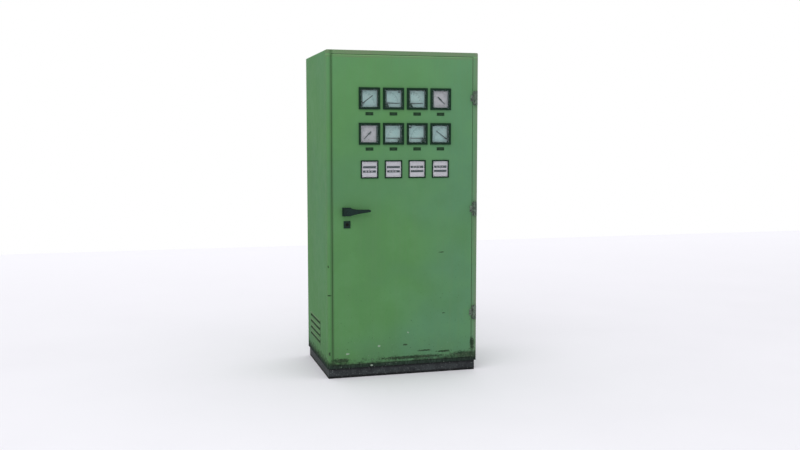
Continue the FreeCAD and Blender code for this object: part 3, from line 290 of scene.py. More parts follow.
# Scars of the door side, as centre x and z, half width and half height.
DARK_SCARS = [(-0.3445, 0.507, 0.003, 0.007), (-0.339, 0.378, 0.010, 0.003),
              (0.103, 0.106, 0.032, 0.004), (0.190, 0.097, 0.036, 0.005),
              (0.010, 0.137, 0.012, 0.005), (0.330, 0.125, 0.012, 0.036),
              (0.285, 0.079, 0.055, 0.015), (-0.341, 0.114, 0.005, 0.010),
              (0.190, 0.275, 0.008, 0.003), (0.180, 0.556, 0.014, 0.0025),
              (-0.290, 0.080, 0.045, 0.011), (0.04, 0.078, 0.17, 0.008)]
PALE_SCARS = [(-0.1135, 0.138, 0.007, 0.005), (0.022, 0.193, 0.004, 0.004),
              (-0.259, 0.110, 0.008, 0.004), (-0.149, 0.052, 0.006, 0.005),
              (0.2675, 0.038, 0.004, 0.008)]
SCAR_DEPTH = 0.012

# Places on the body that its paint refers to: where a face, a fold, a gap, a dirty stretch, a painted
# highlight or a painted shade lies.
SIDE_FACE = (0.3489, 0.3496)
REAR_FACE = (0.2465, 0.2475)
TOP_FOLD = (1.436, 1.444)
TOP_HIGHLIGHT = 1.4345
TOP_STAIN = 1.4285
FRAME_RIM = 0.343
DOOR_EDGE = -0.3275
SUNLIT = (0.9, 1.42)
CHIPPED = (0.65, 0.05)
DIRTY_FOOT = 0.058
VEILED = (0.19, 0.05)
SILL = (0.070, 0.052)
SPECKED = (0.26, 0.05)
VENT_END_SHADE = ((0, -0.074, 0.176), (9, 0.006, 0.064))


def enamel(name):
    """Brushed-on green enamel: blotchy, rubbed on its edges, scarred, and dirty near the floor, with painted
    light and shade: paler high up, a painted highlight along the door's top edge, and painted shade on the
    sides, beside the door and at the vents' front ends.
    """
    settings = bpy.context.scene.cabinet_paint
    finish = Finish(name)
    across, depth, height = finish.axes()[:3]
    front = finish.span(depth, FRONT + 0.012, FRONT + 0.006)
    flank = finish.span(finish.math("ABSOLUTE", across, 0), *SIDE_FACE)
    outside = finish.math("MAXIMUM", front, finish.math("MAXIMUM", flank, finish.span(depth, *REAR_FACE)))
    base = settings.enamel
    bluer = (base[0] * 1.0, base[1] * 0.985, base[2] * 1.22, 1)
    yellower = (base[0] * 0.95, base[1] * 1.0, base[2] * 0.86, 1)
    drift = finish.math("ADD", finish.span(across, -0.30, 0.30),
                        finish.span(finish.noise(2.2, 3, 0.5), 0.3, 0.7, -0.7, 0.7))
    drift = finish.math("ADD", drift, finish.both(flank, 0.3))
    color = finish.blend(finish.ramp(drift, (0, 0), (1, 1)), yellower, bluer)
    cloud = finish.noise(5.5, 6, 0.62)
    color = finish.blend(finish.ramp(cloud, (0.36, 0.35), (0.52, 0)), color, times(base, 0.87))
    color = finish.blend(finish.ramp(cloud, (0.5, 0), (0.7, 0.5)), color, times(base, 1.13))
    color = finish.blend(finish.span(height, *SUNLIT, 0, 0.30), color, times(base, 1.34))
    # Painted shade: the side walls darkened a little.
    color = finish.blend(finish.both(flank, 0.4), color, times(base, 0.87))
    brushed = finish.noise(1.0, 4, 0.6, finish.stretch(150, 150, 3))
    color = finish.blend(finish.ramp(brushed, (0.45, 0), (0.8, 0.3)), color, srgb(96, 128, 92))
    worn = finish.both(finish.edges(settings.wear_width),
                       finish.ramp(finish.noise(34, 6, 0.7), (0.32, 0.3), (0.6, 1)))
    color = finish.blend(finish.both(worn, 0.62), color, srgb(116, 130, 106))
    # Patches that break up the rubbed marks, the stain and the painted highlight line below.
    rubbed = finish.ramp(finish.noise(9, 5, 0.6), (0.3, 0.45), (0.65, 1))
    brow = finish.ramp(finish.span(height, *TOP_FOLD), (0.3, 0), (0.5, 0.6))
    brow = finish.both(finish.both(brow, front), rubbed)
    color = finish.blend(brow, color, srgb(116, 120, 100))
    cheek = finish.both(finish.both(finish.band(across, FRAME_RIM, 0.004, 0.008), front), rubbed)
    color = finish.blend(finish.both(cheek, 0.5), color, srgb(122, 126, 110))
    # Painted highlight: a paler green line along the door's top edge.
    top_edge_highlight = finish.both(finish.both(finish.band(height, TOP_HIGHLIGHT, 0.001, 0.002), front), rubbed)
    color = finish.blend(finish.both(top_edge_highlight, 0.6), color, srgb(126, 168, 112))
    stain = finish.both(finish.both(finish.band(height, TOP_STAIN, 0.002, 0.004), front), rubbed)
    color = finish.blend(finish.both(stain, 0.3), color, srgb(116, 112, 92))
    shadow = finish.both(finish.band(across, DOOR_EDGE, 0.002, 0.009), front)
    color = finish.blend(finish.both(shadow, 0.5), color, srgb(42, 76, 42))
    low = finish.span(height, *CHIPPED)
    chips = finish.both(finish.ramp(finish.noise(150, 3, 0.5), (0.70, 0), (0.725, 1)), low)
    fade = finish.span(height, settings.grime_height, DIRTY_FOOT)
    lean = finish.ramp(finish.span(across, -0.35, 0.35), (0.02, 0.42), (0.16, 0.12), (0.45, 0.10),
                       (0.80, 0.34), (1.0, 0.62))
    score = finish.math("ADD", finish.both(fade, 0.62), finish.both(lean, fade))
    score = finish.math("ADD", score, finish.span(finish.noise(62, 9, 0.78), 0.3, 0.7, -0.55, 0.42))
    grime = finish.ramp(score, (0.42, 0), (0.88, 1))
    veil = finish.both(finish.span(height, *VEILED),
                       finish.ramp(finish.noise(21, 7, 0.7), (0.32, 0.25), (0.66, 1)))
    color = finish.blend(finish.both(finish.both(veil, outside), 0.42), color, srgb(70, 88, 72))
    sill = finish.both(finish.ramp(finish.span(height, *SILL), (0.1, 0), (0.8, 0.9)), outside)
    grime = finish.both(grime, outside)
    for x, z, wide, high in DARK_SCARS:
        scar = finish.mark((x, FRONT, z), (wide, SCAR_DEPTH, high), 190)
        grime = finish.math("MAXIMUM", grime, scar)
    dirt = finish.ramp(finish.noise(90, 6, 0.7), (0.38, srgb(24, 32, 26)), (0.55, srgb(48, 58, 46)),
                       (0.7, srgb(78, 86, 70)))
    color = finish.blend(finish.both(grime, 0.84), color, dirt)
    streaks = finish.noise(1.0, 5, 0.7, finish.stretch(260, 60, 24))
    tar = finish.ramp(streaks, (0.34, srgb(20, 26, 25)), (0.54, srgb(42, 52, 48)), (0.76, srgb(84, 96, 90)))
    color = finish.blend(sill, color, tar)
    # Painted shade: a dark upright band on the side walls at the front ends of the vents.
    vent_end_shade = finish.both(finish.mark(*VENT_END_SHADE, 70), flank)
    color = finish.blend(finish.both(vent_end_shade, 0.6), color, srgb(40, 58, 44))
    color = finish.blend(finish.both(chips, 0.85), color, srgb(38, 46, 36))
    specks = finish.ramp(finish.spots(52), (0.05, 1), (0.085, 0))
    specks = finish.both(specks, finish.span(height, *SPECKED))
    for x, z, wide, high in PALE_SCARS:
        scar = finish.mark((x, FRONT, z), (wide, SCAR_DEPTH, high), 240)
        specks = finish.math("MAXIMUM", specks, scar)
    color = finish.blend(finish.both(specks, 0.75), color, srgb(152, 166, 152))
    rough = finish.span(finish.noise(24, 4, 0.6), 0.3, 0.7, 0.48, 0.64)
    rough = finish.math("ADD", rough, finish.both(grime, 0.25))
    finish.set(Base_Color=color, Roughness=rough, Specular_IOR_Level=0.01)
    peel = finish.math("ADD", finish.noise(420, 2, 0.5), finish.both(cloud, 2.0))
    peel = finish.math("SUBTRACT", peel, finish.both(chips, 1.5))
    finish.bump(peel, 0.14, 0.0006)
    return finish.material


def moulded(name, color, roughness=0.45, grain=900, fleck=1.3, gloss=0.3, wear=0.6):
    """Plastic or painted casting with a fine grain, dusty in patches and paler on its edges."""
    finish = Finish(name)
    patch = finish.ramp(finish.noise(26, 5, 0.6), (0.38, 0), (0.7, 1))
    shade = finish.blend(patch, color, times(color, fleck))
    dusty = tuple(min(1, c * 1.5 + 0.03) for c in color[:3]) + (1,)
    worn = finish.both(finish.edges(0.0012),
                       finish.ramp(finish.noise(150, 4, 0.6), (0.4, 0), (0.6, 1)))
    shade = finish.blend(finish.both(worn, wear), shade, dusty)
    finish.set(Base_Color=shade, Specular_IOR_Level=gloss,
               Roughness=finish.span(patch, 0, 1, roughness, roughness + 0.14))
    finish.bump(finish.noise(grain, 2, 0.5), 0.15, 0.0002)
    return finish.material


def metal(name, color, roughness=0.35, tarnish=None, amount=0.5):
    """Bare or plated metal with drawn grain and tarnished patches."""
    finish = Finish(name)
    patch = finish.ramp(finish.noise(30, 6, 0.65), (0.42, 0), (0.7, 1))
    dull = tarnish or times(color, 0.6)
    shade = finish.blend(finish.both(patch, amount), color, dull)
    drawn = finish.noise(1.0, 3, 0.5, finish.stretch(60, 60, 900))
    rough = finish.math("ADD", finish.span(drawn, 0.3, 0.7, roughness - 0.07, roughness + 0.07),
                        finish.both(patch, 0.2))
    finish.set(Base_Color=shade, Roughness=rough, Metallic=1.0)
    finish.bump(drawn, 0.08, 0.0002)
    return finish.material


def spangled_zinc(name):
    """Hot-dip zinc with its crystal pattern."""
    finish = Finish(name)
    cells = finish.node("TexVoronoi", {"Vector": finish.place, "Scale": 55}).outputs["Color"]
    grey = finish.node("RGBToBW", {"Color": cells}).outputs[0]
    shade = finish.ramp(grey, (0.1, srgb(150, 153, 156)), (0.9, srgb(188, 191, 194)))
    stain = finish.ramp(finish.noise(7, 6, 0.65), (0.45, 0), (0.8, 0.5))
    shade = finish.blend(stain, shade, srgb(120, 121, 118))
    finish.set(Base_Color=shade, Metallic=0.85, Roughness=finish.span(grey, 0, 1, 0.34, 0.56))
    finish.bump(finish.noise(70, 3, 0.5), 0.06, 0.0004)
    return finish.material


def plinth_black(name):
    """Scuffed black paint, dusty and speckled with pale grit, darkest along its top, and along its foot
    where painted shade meets the floor.
    """
    finish = Finish(name)
    height = finish.axes()["Z"]
    cloud = finish.ramp(finish.noise(26, 8, 0.75), (0.34, 0), (0.70, 1))
    color = finish.blend(cloud, srgb(28, 30, 33), srgb(66, 71, 73))
    # Darker bands along the plinth's top and its foot; the one at the foot is painted shade at the floor.
    dark_top_and_shaded_foot = finish.ramp(finish.span(height, 0, 0.046), (0.14, 0.95), (0.30, 0), (0.70, 0), (0.92, 0.8))
    color = finish.blend(dark_top_and_shaded_foot, color, srgb(10, 11, 13))
    speck = finish.ramp(finish.noise(230, 3, 0.6), (0.64, 0), (0.70, 1))
    color = finish.blend(finish.both(speck, 0.7), color, srgb(146, 150, 150))
    worn = finish.both(finish.edges(0.003), finish.noise(60, 4, 0.6))
    color = finish.blend(finish.both(worn, 0.7), color, srgb(112, 116, 116))
    finish.set(Base_Color=color, Roughness=finish.span(cloud, 0, 1, 0.6, 0.85),
               Specular_IOR_Level=0.18)
    finish.bump(finish.noise(200, 4, 0.6), 0.25, 0.0006)
    return finish.material


def old_hinge(name):
    """Hinge steel under worn paint, greasy and dark in patches."""
    finish = Finish(name)
    patch = finish.ramp(finish.noise(95, 6, 0.7), (0.40, 0), (0.62, 1))
    shade = finish.blend(patch, srgb(104, 122, 106), srgb(54, 62, 56))
    worn = finish.both(finish.edges(0.0015), finish.noise(210, 4, 0.6))
    shade = finish.blend(finish.both(worn, 0.8), shade, srgb(156, 160, 154))
    finish.set(Base_Color=shade, Roughness=finish.span(patch, 0, 1, 0.5, 0.7),
               Metallic=finish.both(worn, 0.5), Specular_IOR_Level=0.25)
    finish.bump(finish.noise(300, 4, 0.6), 0.3, 0.0004)
    return finish.material


def dial_card(name, color, warm, ink=srgb(90, 110, 110)):
    """Matt printed dial with faint foxing."""
    finish = Finish(name)
    patch = finish.noise(32, 5, 0.6)
    shade = finish.blend(finish.ramp(patch, (0.4, 0), (0.75, 0.6)), color, warm)
    fibre = finish.noise(1400, 2, 0.5)
    shade = finish.blend(finish.ramp(fibre, (0.55, 0), (0.8, 0.1)), shade, ink)
    finish.set(Base_Color=shade, Roughness=finish.span(patch, 0.3, 0.7, 0.6, 0.75),
               Specular_IOR_Level=0.2)
    finish.bump(fibre, 0.05, 0.0001)
    return finish.material


def clear_pane(name, tint, alpha, roughness=0.06):
    """Thin clear window or cover: mostly open, with a little haze and dust."""
    finish = Finish(name)
    haze = finish.noise(40, 5, 0.6)
    shade = finish.blend(finish.ramp(haze, (0.4, 0), (0.8, 1)), tint, times(tint, 1.1))
    finish.set(Base_Color=shade, Alpha=alpha, Specular_IOR_Level=0.3,
               Roughness=finish.span(haze, 0.3, 0.7, roughness, roughness + 0.1))
    finish.bump(finish.noise(15, 2, 0.5), 0.02, 0.0005)
    return finish.material


def foam_rubber(name):
    finish = Finish(name)
    pores = finish.spots(700)
    shade = finish.blend(finish.ramp(pores, (0.1, 0), (0.5, 1)), srgb(20, 20, 21), srgb(46, 46, 47))
    finish.set(Base_Color=shade, Roughness=0.85, Specular_IOR_Level=0.2)
    finish.bump(pores, 0.3, 0.0003)
    return finish.material


def layered(name, color, dark, layers, roughness, metallic=0.0):
    """Stacked sheets or windings: fine parallel lines, (x, y, z) lines to the metre."""
    finish = Finish(name)
    place = finish.stretch(*layers)
    lines = finish.node("TexWave", {"Vector": place, "Scale": 1.0, "Distortion": 0.3,
                                    "Detail": 1.0}).outputs["Fac"]
    shade = finish.blend(finish.ramp(lines, (0.25, 1), (0.6, 0)), color, dark)
    patch = finish.ramp(finish.noise(45, 5, 0.6), (0.4, 0), (0.7, 0.5))
    shade = finish.blend(patch, shade, times(color, 0.7))
    finish.set(Base_Color=shade, Metallic=metallic, Specular_IOR_Level=0.4,
               Roughness=finish.span(patch, 0, 0.5, roughness, roughness + 0.2))
    finish.bump(lines, 0.5, 0.0003)
    return finish.material


MAKERS = {
    "green_paint": enamel,
    "black_paint": plinth_black,
    "galvanised": spangled_zinc,
    "zinc_steel": lambda name: metal(name, srgb(176, 176, 168)),
    "hinge_steel": old_hinge,
    "handle_black": lambda name: moulded(name, srgb(14, 34, 29), 0.45, 300, 1.5, 0.16),
    "meter_black": lambda name: moulded(name, srgb(13, 40, 26), 0.5, 700, 1.3, 0.12),
    "dial_enamel": lambda name: dial_card(name, srgb(152, 184, 182), srgb(168, 186, 182)),
    "face_card": lambda name: dial_card(name, srgb(192, 186, 194), srgb(178, 174, 182)),
    "reed_steel": lambda name: metal(name, srgb(170, 170, 168), 0.4),
    "window_glass": lambda name: clear_pane(name, srgb(176, 200, 200), 0.07),
    "pointer_black": lambda name: moulded(name, srgb(14, 18, 20), 0.4, 1200, 1.2, 0.2),
    "label_black": lambda name: moulded(name, srgb(20, 46, 26), 0.5, 500, 1.4, 0.15),
    "gasket_rubber": foam_rubber,
    "lock_brass": lambda name: metal(name, srgb(34, 34, 30), 0.45, tarnish=srgb(16, 16, 15), amount=0.8),
    "duct_grey": lambda name: moulded(name, srgb(150, 153, 155), 0.5),
    "gland_grey": lambda name: moulded(name, srgb(128, 131, 132), 0.5),
    "breaker_black": lambda name: moulded(name, srgb(30, 31, 33), 0.35, 500, 1.3, 0.4),
    "toggle_grey": lambda name: moulded(name, srgb(196, 194, 184), 0.3),
    "copper": lambda name: metal(name, srgb(200, 128, 92), 0.3, tarnish=srgb(120, 72, 50)),
    "transformer_resin": lambda name: moulded(name, srgb(36, 37, 40), 0.3, 200, 1.2, 0.5),
    "insulator_red": lambda name: moulded(name, srgb(128, 34, 24), 0.25, 400, 1.2, 0.5),
    "core_iron": lambda name: layered(name, srgb(74, 76, 80), srgb(26, 27, 29), (0, 160, 0), 0.35, 0.7),
    "coil_varnish": lambda name: layered(name, srgb(160, 96, 38), srgb(84, 44, 16), (0, 0, 330), 0.3),
    "socket_grey": lambda name: moulded(name, srgb(96, 98, 100), 0.5),
    "relay_smoke": lambda name: clear_pane(name, srgb(150, 154, 158), 0.42, 0.12),
    "terminal_beige": lambda name: moulded(name, srgb(186, 176, 142), 0.45),
}
EXTRA_MAKERS = {
    # Near-black finish of the meter funnels: the case's inner wall, darkened as painted shade inside the
    # windows.
    "funnel_black": lambda name: moulded(name, srgb(9, 26, 18), 0.85, 700, 1.2, 0.02, 0.05),
    # Darker green of the louvre blades: some dirt, and painted shade that makes the slots look dark.
    "vent_paint": lambda name: moulded(name, srgb(50, 74, 52), 0.7, 300, 1.3, 0.05),
    "dial_ink": lambda name: moulded(name, srgb(24, 34, 36), 0.6, 1500, 1.2, 0.1),
    "faded_ink": lambda name: moulded(name, srgb(92, 112, 112), 0.6, 1500, 1.2, 0.1),
    "grey_card": lambda name: dial_card(name, srgb(184, 180, 186), srgb(172, 170, 176), srgb(110, 108, 114)),
    "reed_white": lambda name: moulded(name, srgb(168, 160, 168), 0.5, 800, 1.1, 0.1),
    "reed_dark": lambda name: moulded(name, srgb(40, 34, 44), 0.5, 800, 1.2, 0.1),
    "label_ink": lambda name: moulded(name, srgb(38, 68, 44), 0.6, 900, 1.2, 0.1),
}


def finish_of(name):
    """The finish of that name, made when it is first asked for."""
    label = name + "_finish"
    known = bpy.data.materials.get(label)
    return known or {**MAKERS, **EXTRA_MAKERS}[name](label)


# ---------------------------------------------------------------- modelling
def clear():
    """Leave nothing selected."""
    bpy.ops.object.select_all(action="DESELECT")


def alone(piece):
    """Make a piece the only one selected, and the active one."""
    clear()
    piece.select_set(True)
    bpy.context.view_layer.objects.active = piece
    return piece


def settle(name):
    """Name the new primitive and put its place into its mesh."""
    piece = bpy.context.object
    piece.name = name
    bpy.ops.object.transform_apply(location=True, rotation=True, scale=True)
    return piece


def block(name, low, high):
    low, high = Vector(low), Vector(high)
    clear()
    bpy.ops.mesh.primitive_cube_add(size=1, location=(low + high) / 2, scale=high - low)
    return settle(name)


def round_bar(name, start, end, radius, sides=20):
    start, end = Vector(start), Vector(end)
    way = end - start
    clear()
    bpy.ops.mesh.primitive_cylinder_add(
        vertices=sides, radius=radius, depth=way.length, location=(start + end) / 2,
        rotation=way.to_track_quat("Z", "Y").to_euler())
    return settle(name)


def facing(x, y, z):
    """A test for faces that look along a direction."""
    way = Vector((x, y, z))
    return lambda centre, normal: normal.dot(way) > 0.99


def along_depth(centre, normal):
    """True for faces square to the cabinet's depth."""
    return abs(normal.y) > 0.99


def edit(piece, wanted, *steps):
    """Select the faces that the test takes, then run edit-mode operators on them."""
    alone(piece)
    bpy.ops.object.mode_set(mode="EDIT")
    bpy.ops.mesh.select_mode(type="FACE")
    bpy.ops.mesh.select_all(action="DESELECT")
    mesh = bmesh.from_edit_mesh(piece.data)
    for face in mesh.faces:
        if wanted(face.calc_center_median(), face.normal):
            face.select_set(True)
    bmesh.update_edit_mesh(piece.data)
    for name, options in steps:
        getattr(bpy.ops.mesh, name)(**options)
    bpy.ops.object.mode_set(mode="OBJECT")
    return piece


def shift(piece, wanted, move):
    """Slide the points that the test takes."""
    alone(piece)
    bpy.ops.object.mode_set(mode="EDIT")
    bpy.ops.mesh.select_mode(type="VERT")
    bpy.ops.mesh.select_all(action="DESELECT")
    mesh = bmesh.from_edit_mesh(piece.data)
    for point in mesh.verts:
        point.select_set(wanted(point.co))
    bmesh.update_edit_mesh(piece.data)
    bpy.ops.transform.translate(value=move)
    bpy.ops.object.mode_set(mode="OBJECT")
    return piece


def use(piece, kind, **settings):
    """Add a modifier and apply it."""
    alone(piece)
    added = piece.modifiers.new(kind.lower(), kind)
    for key, value in settings.items():
        setattr(added, key, value)
    bpy.ops.object.modifier_apply(modifier=added.name)
    return piece


def soften(piece, width, segments=2, corner=30):
    """Round the edges and smooth the shading between them."""
    use(piece, "BEVEL", width=width, segments=segments, limit_method="ANGLE",
        angle_limit=math.radians(corner))
    bpy.ops.object.shade_smooth_by_angle(angle=math.radians(40))
    return piece


def carve(piece, *tools):
    for tool in tools:
        use(piece, "BOOLEAN", object=tool, operation="DIFFERENCE", solver="EXACT")
        bpy.data.objects.remove(tool)
    return piece


def joined(name, *pieces):
    clear()
    for piece in pieces:
        piece.select_set(True)
    bpy.context.view_layer.objects.active = pieces[0]
    bpy.ops.object.join()
    pieces[0].name = name
    return pieces[0]


def copies(name, master, places):
    """The master repeated at each offset, each copy with its own mesh, joined as one object."""
    twins = []
    for place in places:
        twin = master.copy()
        twin.data = master.data.copy()
        twin.location = place
        bpy.context.collection.objects.link(twin)
        twins.append(twin)
    bpy.data.objects.remove(master)
    clear()
    for twin in twins:
        twin.select_set(True)
    bpy.context.view_layer.objects.active = twins[0]
    bpy.ops.object.transform_apply(location=True, rotation=True, scale=True)
    return joined(name, *twins)


def twin_of(piece):
    """A second piece of the same shape, with its own mesh."""
    twin = piece.copy()
    twin.data = piece.data.copy()
    bpy.context.collection.objects.link(twin)
    return twin


def paint(piece, material):
    piece.data.materials.clear()
    piece.data.materials.append(finish_of(material))
    return piece


def dress(*names):
    """Give frame parts that keep their shape the finish of their slots."""
    for name in names:
        paint(NODES[name], SLOT_OF[name])


def fit(piece, *nodes, body=None, slot=None, material=None):
    """Paint a piece, hang it on its body, and let it stand for the frame parts named."""
    slot = slot or SLOT_OF[nodes[0]]
    paint(piece, material or slot)
    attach(piece, body or NODES[nodes[0]]["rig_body"])
    if nodes:
        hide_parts(*nodes)
    return piece


def merged_copy(node):
    """A frame part's shape as a clean mesh of its own, ready to be worked on."""
    piece = bpy.data.objects.new(node + "_worked", NODES[node].data.copy())
    bpy.context.collection.objects.link(piece)
    alone(piece)
    bpy.ops.mesh.customdata_custom_splitnormals_clear()
    bpy.ops.object.mode_set(mode="EDIT")
    bpy.ops.mesh.select_all(action="SELECT")
    bpy.ops.mesh.remove_doubles(threshold=0.00001)
    bpy.ops.mesh.dissolve_limited(angle_limit=math.radians(1))
    bpy.ops.object.mode_set(mode="OBJECT")
    return piece


def rework(node, width, segments=2, corner=30):
    """Stand a copy of a frame part with rounded edges in its place."""
    return fit(soften(merged_copy(node), width, segments, corner), node)


def slotted_head(name, at, way, radius, height):
    """A pan head with a slot, standing on a point and looking along a direction."""
    at, way = Vector(at), Vector(way)
    head = soften(round_bar(name, at, at + way * height, radius, 18), height * 0.3)
    half = Vector((radius, radius, radius)) * 1.2
    thin = Vector((1, 0, 0)) if abs(way.x) < 0.5 else Vector((0, 1, 0))
    half -= Vector([abs(c) for c in thin]) * (radius * 1.2 - radius * 0.12)
    middle = at + way * (height * 0.6 + radius * 1.2)
    return carve(head, block("slot", middle - half, middle + half))


def hexagon(name, at, way, across, height):
    at, way = Vector(at), Vector(way)
    return soften(round_bar(name, at, at + way * height, across / 2 / math.cos(math.pi / 6), 6),
                  height * 0.12)


TOWARDS_FRONT = Vector((0, -1, 0))


# ---------------------------------------------------------------- operators
class CABINET_OT_stage(bpy.types.Operator):
    """Set the pale floor, the soft light and the camera"""
    bl_idname = "cabinet.stage"
    bl_label = "Stage"

    def execute(self, context):
        settings = context.scene.cabinet_stage
        bpy.ops.mesh.primitive_plane_add(size=1)
        floor = context.object
        floor.name = "floor"
        pale = Finish("pale_floor")
        cloud = pale.noise(1.5, 2, 0.5)
        card = pale.ramp(cloud, (0.3, srgb(237, 236, 242)), (0.7, srgb(239, 238, 244)))
        # Painted light: the floor grows paler towards the back.
        rise = pale.span(pale.axes()["Y"], 0.4, 4.5)
        pale.set(Base_Color=pale.blend(rise, card, srgb(249, 248, 254)), Roughness=0.9,
                 Specular_IOR_Level=0.1)
        floor.data.materials.append(pale.material)
        near, far, side = -9, 5, 9
        corners = ((-side, near), (side, near), (-side, far), (side, far))
        for point, corner in zip(floor.data.vertices, corners):
            point.co = (*corner, 0)
        world = bpy.data.worlds.new("soft_studio")
        context.scene.world = world
        world.use_nodes = True
        backdrop = world.node_tree.nodes["Background"]
        backdrop.inputs["Color"].default_value = (1, 1, 1, 1)
        backdrop.inputs["Strength"].default_value = 1.0
        bpy.ops.object.light_add(type="AREA", location=(-1.6, -2.6, 4.2))
        lamp = context.object
        lamp.name = "overhead_softbox"
        lamp.data.shape = "DISK"
        lamp.data.size = 3.0
        lamp.data.energy = 30
        aim = Vector((0, 0, 0.6)) - lamp.location
        lamp.rotation_euler = aim.to_track_quat("-Z", "Y").to_euler()
        bpy.ops.object.camera_add(location=settings.eye,
                                  rotation=(math.pi / 2 - settings.tilt, 0, settings.turn))
        camera = context.object
        camera.data.lens = settings.lens
        camera.data.sensor_width = 36
        camera.data.clip_end = 100
        context.scene.camera = camera
        context.scene.view_settings.view_transform = "Standard"
        return {"FINISHED"}


class CABINET_OT_carcass(bpy.types.Operator):
    """Paint the sheet-steel body, add lips over its vents, and round the edges of its louvres, stiffeners
    and screws
    """
    bl_idname = "cabinet.carcass"
    bl_label = "Carcass"

    def drip_lips(self):
        """A small pressed lip over each vent slot, on both side walls."""
        low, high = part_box("side_louvres")
        shell_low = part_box("cabinet_shell")[0]
        bottom = low.z + VENT_FOOT + VENT_SLOT
        count = 1 + round((high.z - bottom) / VENT_PITCH)
        lips = []
        for side in (-1, 1):
            wall = -shell_low.x * side
            edge = wall + side * LIP_REACH
            lip = block("lip", (min(wall, edge), low.y + 3 * MM, bottom),
                        (max(wall, edge), high.y - 3 * MM, bottom + LIP_HEIGHT))
            shift(lip, lambda co: co.z > bottom + LIP_HEIGHT - MM and abs(co.x) > abs(wall) + LIP_REACH / 2,
                  (-side * (LIP_REACH - 0.3 * MM), 0, 0))
            lips.append(soften(lip, 0.5 * MM, 2, 40))
        lips = copies("vent_lips", joined("lip", *lips), [(0, 0, i * VENT_PITCH) for i in range(count)])
        fit(lips, body="cabinet", slot="green_paint")

    def execute(self, context):
        dress("cabinet_shell", "door_frame", "rear_frame", "door_panel", "rear_panel",
              "plinth_frame", "door_gasket", "gland_plate", "mounting_plate", "din_rails",
              "rod_guides")
        # The louvre blades take a darker green: painted shade in the slots, with some dirt.
        paint(rework("side_louvres", 0.5 * MM), "vent_paint")
        self.drip_lips()
        rework("door_stiffeners", 0.7 * MM)
        rework("panel_screws", 0.5 * MM)
        return {"FINISHED"}


class CABINET_OT_hinges(bpy.types.Operator):
    """Shape the three hinges, with weld beads along their leaves"""
    bl_idname = "cabinet.hinges"
    bl_label = "Hinges"

    def execute(self, context):
        rework("hinge_frame_knuckles", 0.8 * MM)
        rework("hinge_door_knuckles", 0.8 * MM)
        rework("hinge_pins", 0.6 * MM, 3)
        low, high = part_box("hinge_frame_knuckles")
        middle = JOINT_AT["door_hinge"]
        levels = [low.z + HINGE_LEAF / 2, middle.z, high.z - HINGE_LEAF / 2]
        drops = []
        for side in (-1, 1):
            x = middle.x + side * 9.5 * MM
            for i in range(6):
                for end in (-1, 1):
                    z = end * (HINGE_LEAF / 2 - 3 * MM - i * BEAD_STEP)
                    clear()
                    bpy.ops.mesh.primitive_uv_sphere_add(
                        segments=10, ring_count=6, radius=BEAD_RADIUS, location=(x, FRONT, z))
                    drops.append(settle("bead_drop"))
        beads = copies("hinge_weld_beads", joined("bead", *drops), [(0, 0, z) for z in levels])
        bpy.ops.object.shade_smooth()
        fit(beads, body="cabinet", slot="hinge_steel")
        return {"FINISHED"}


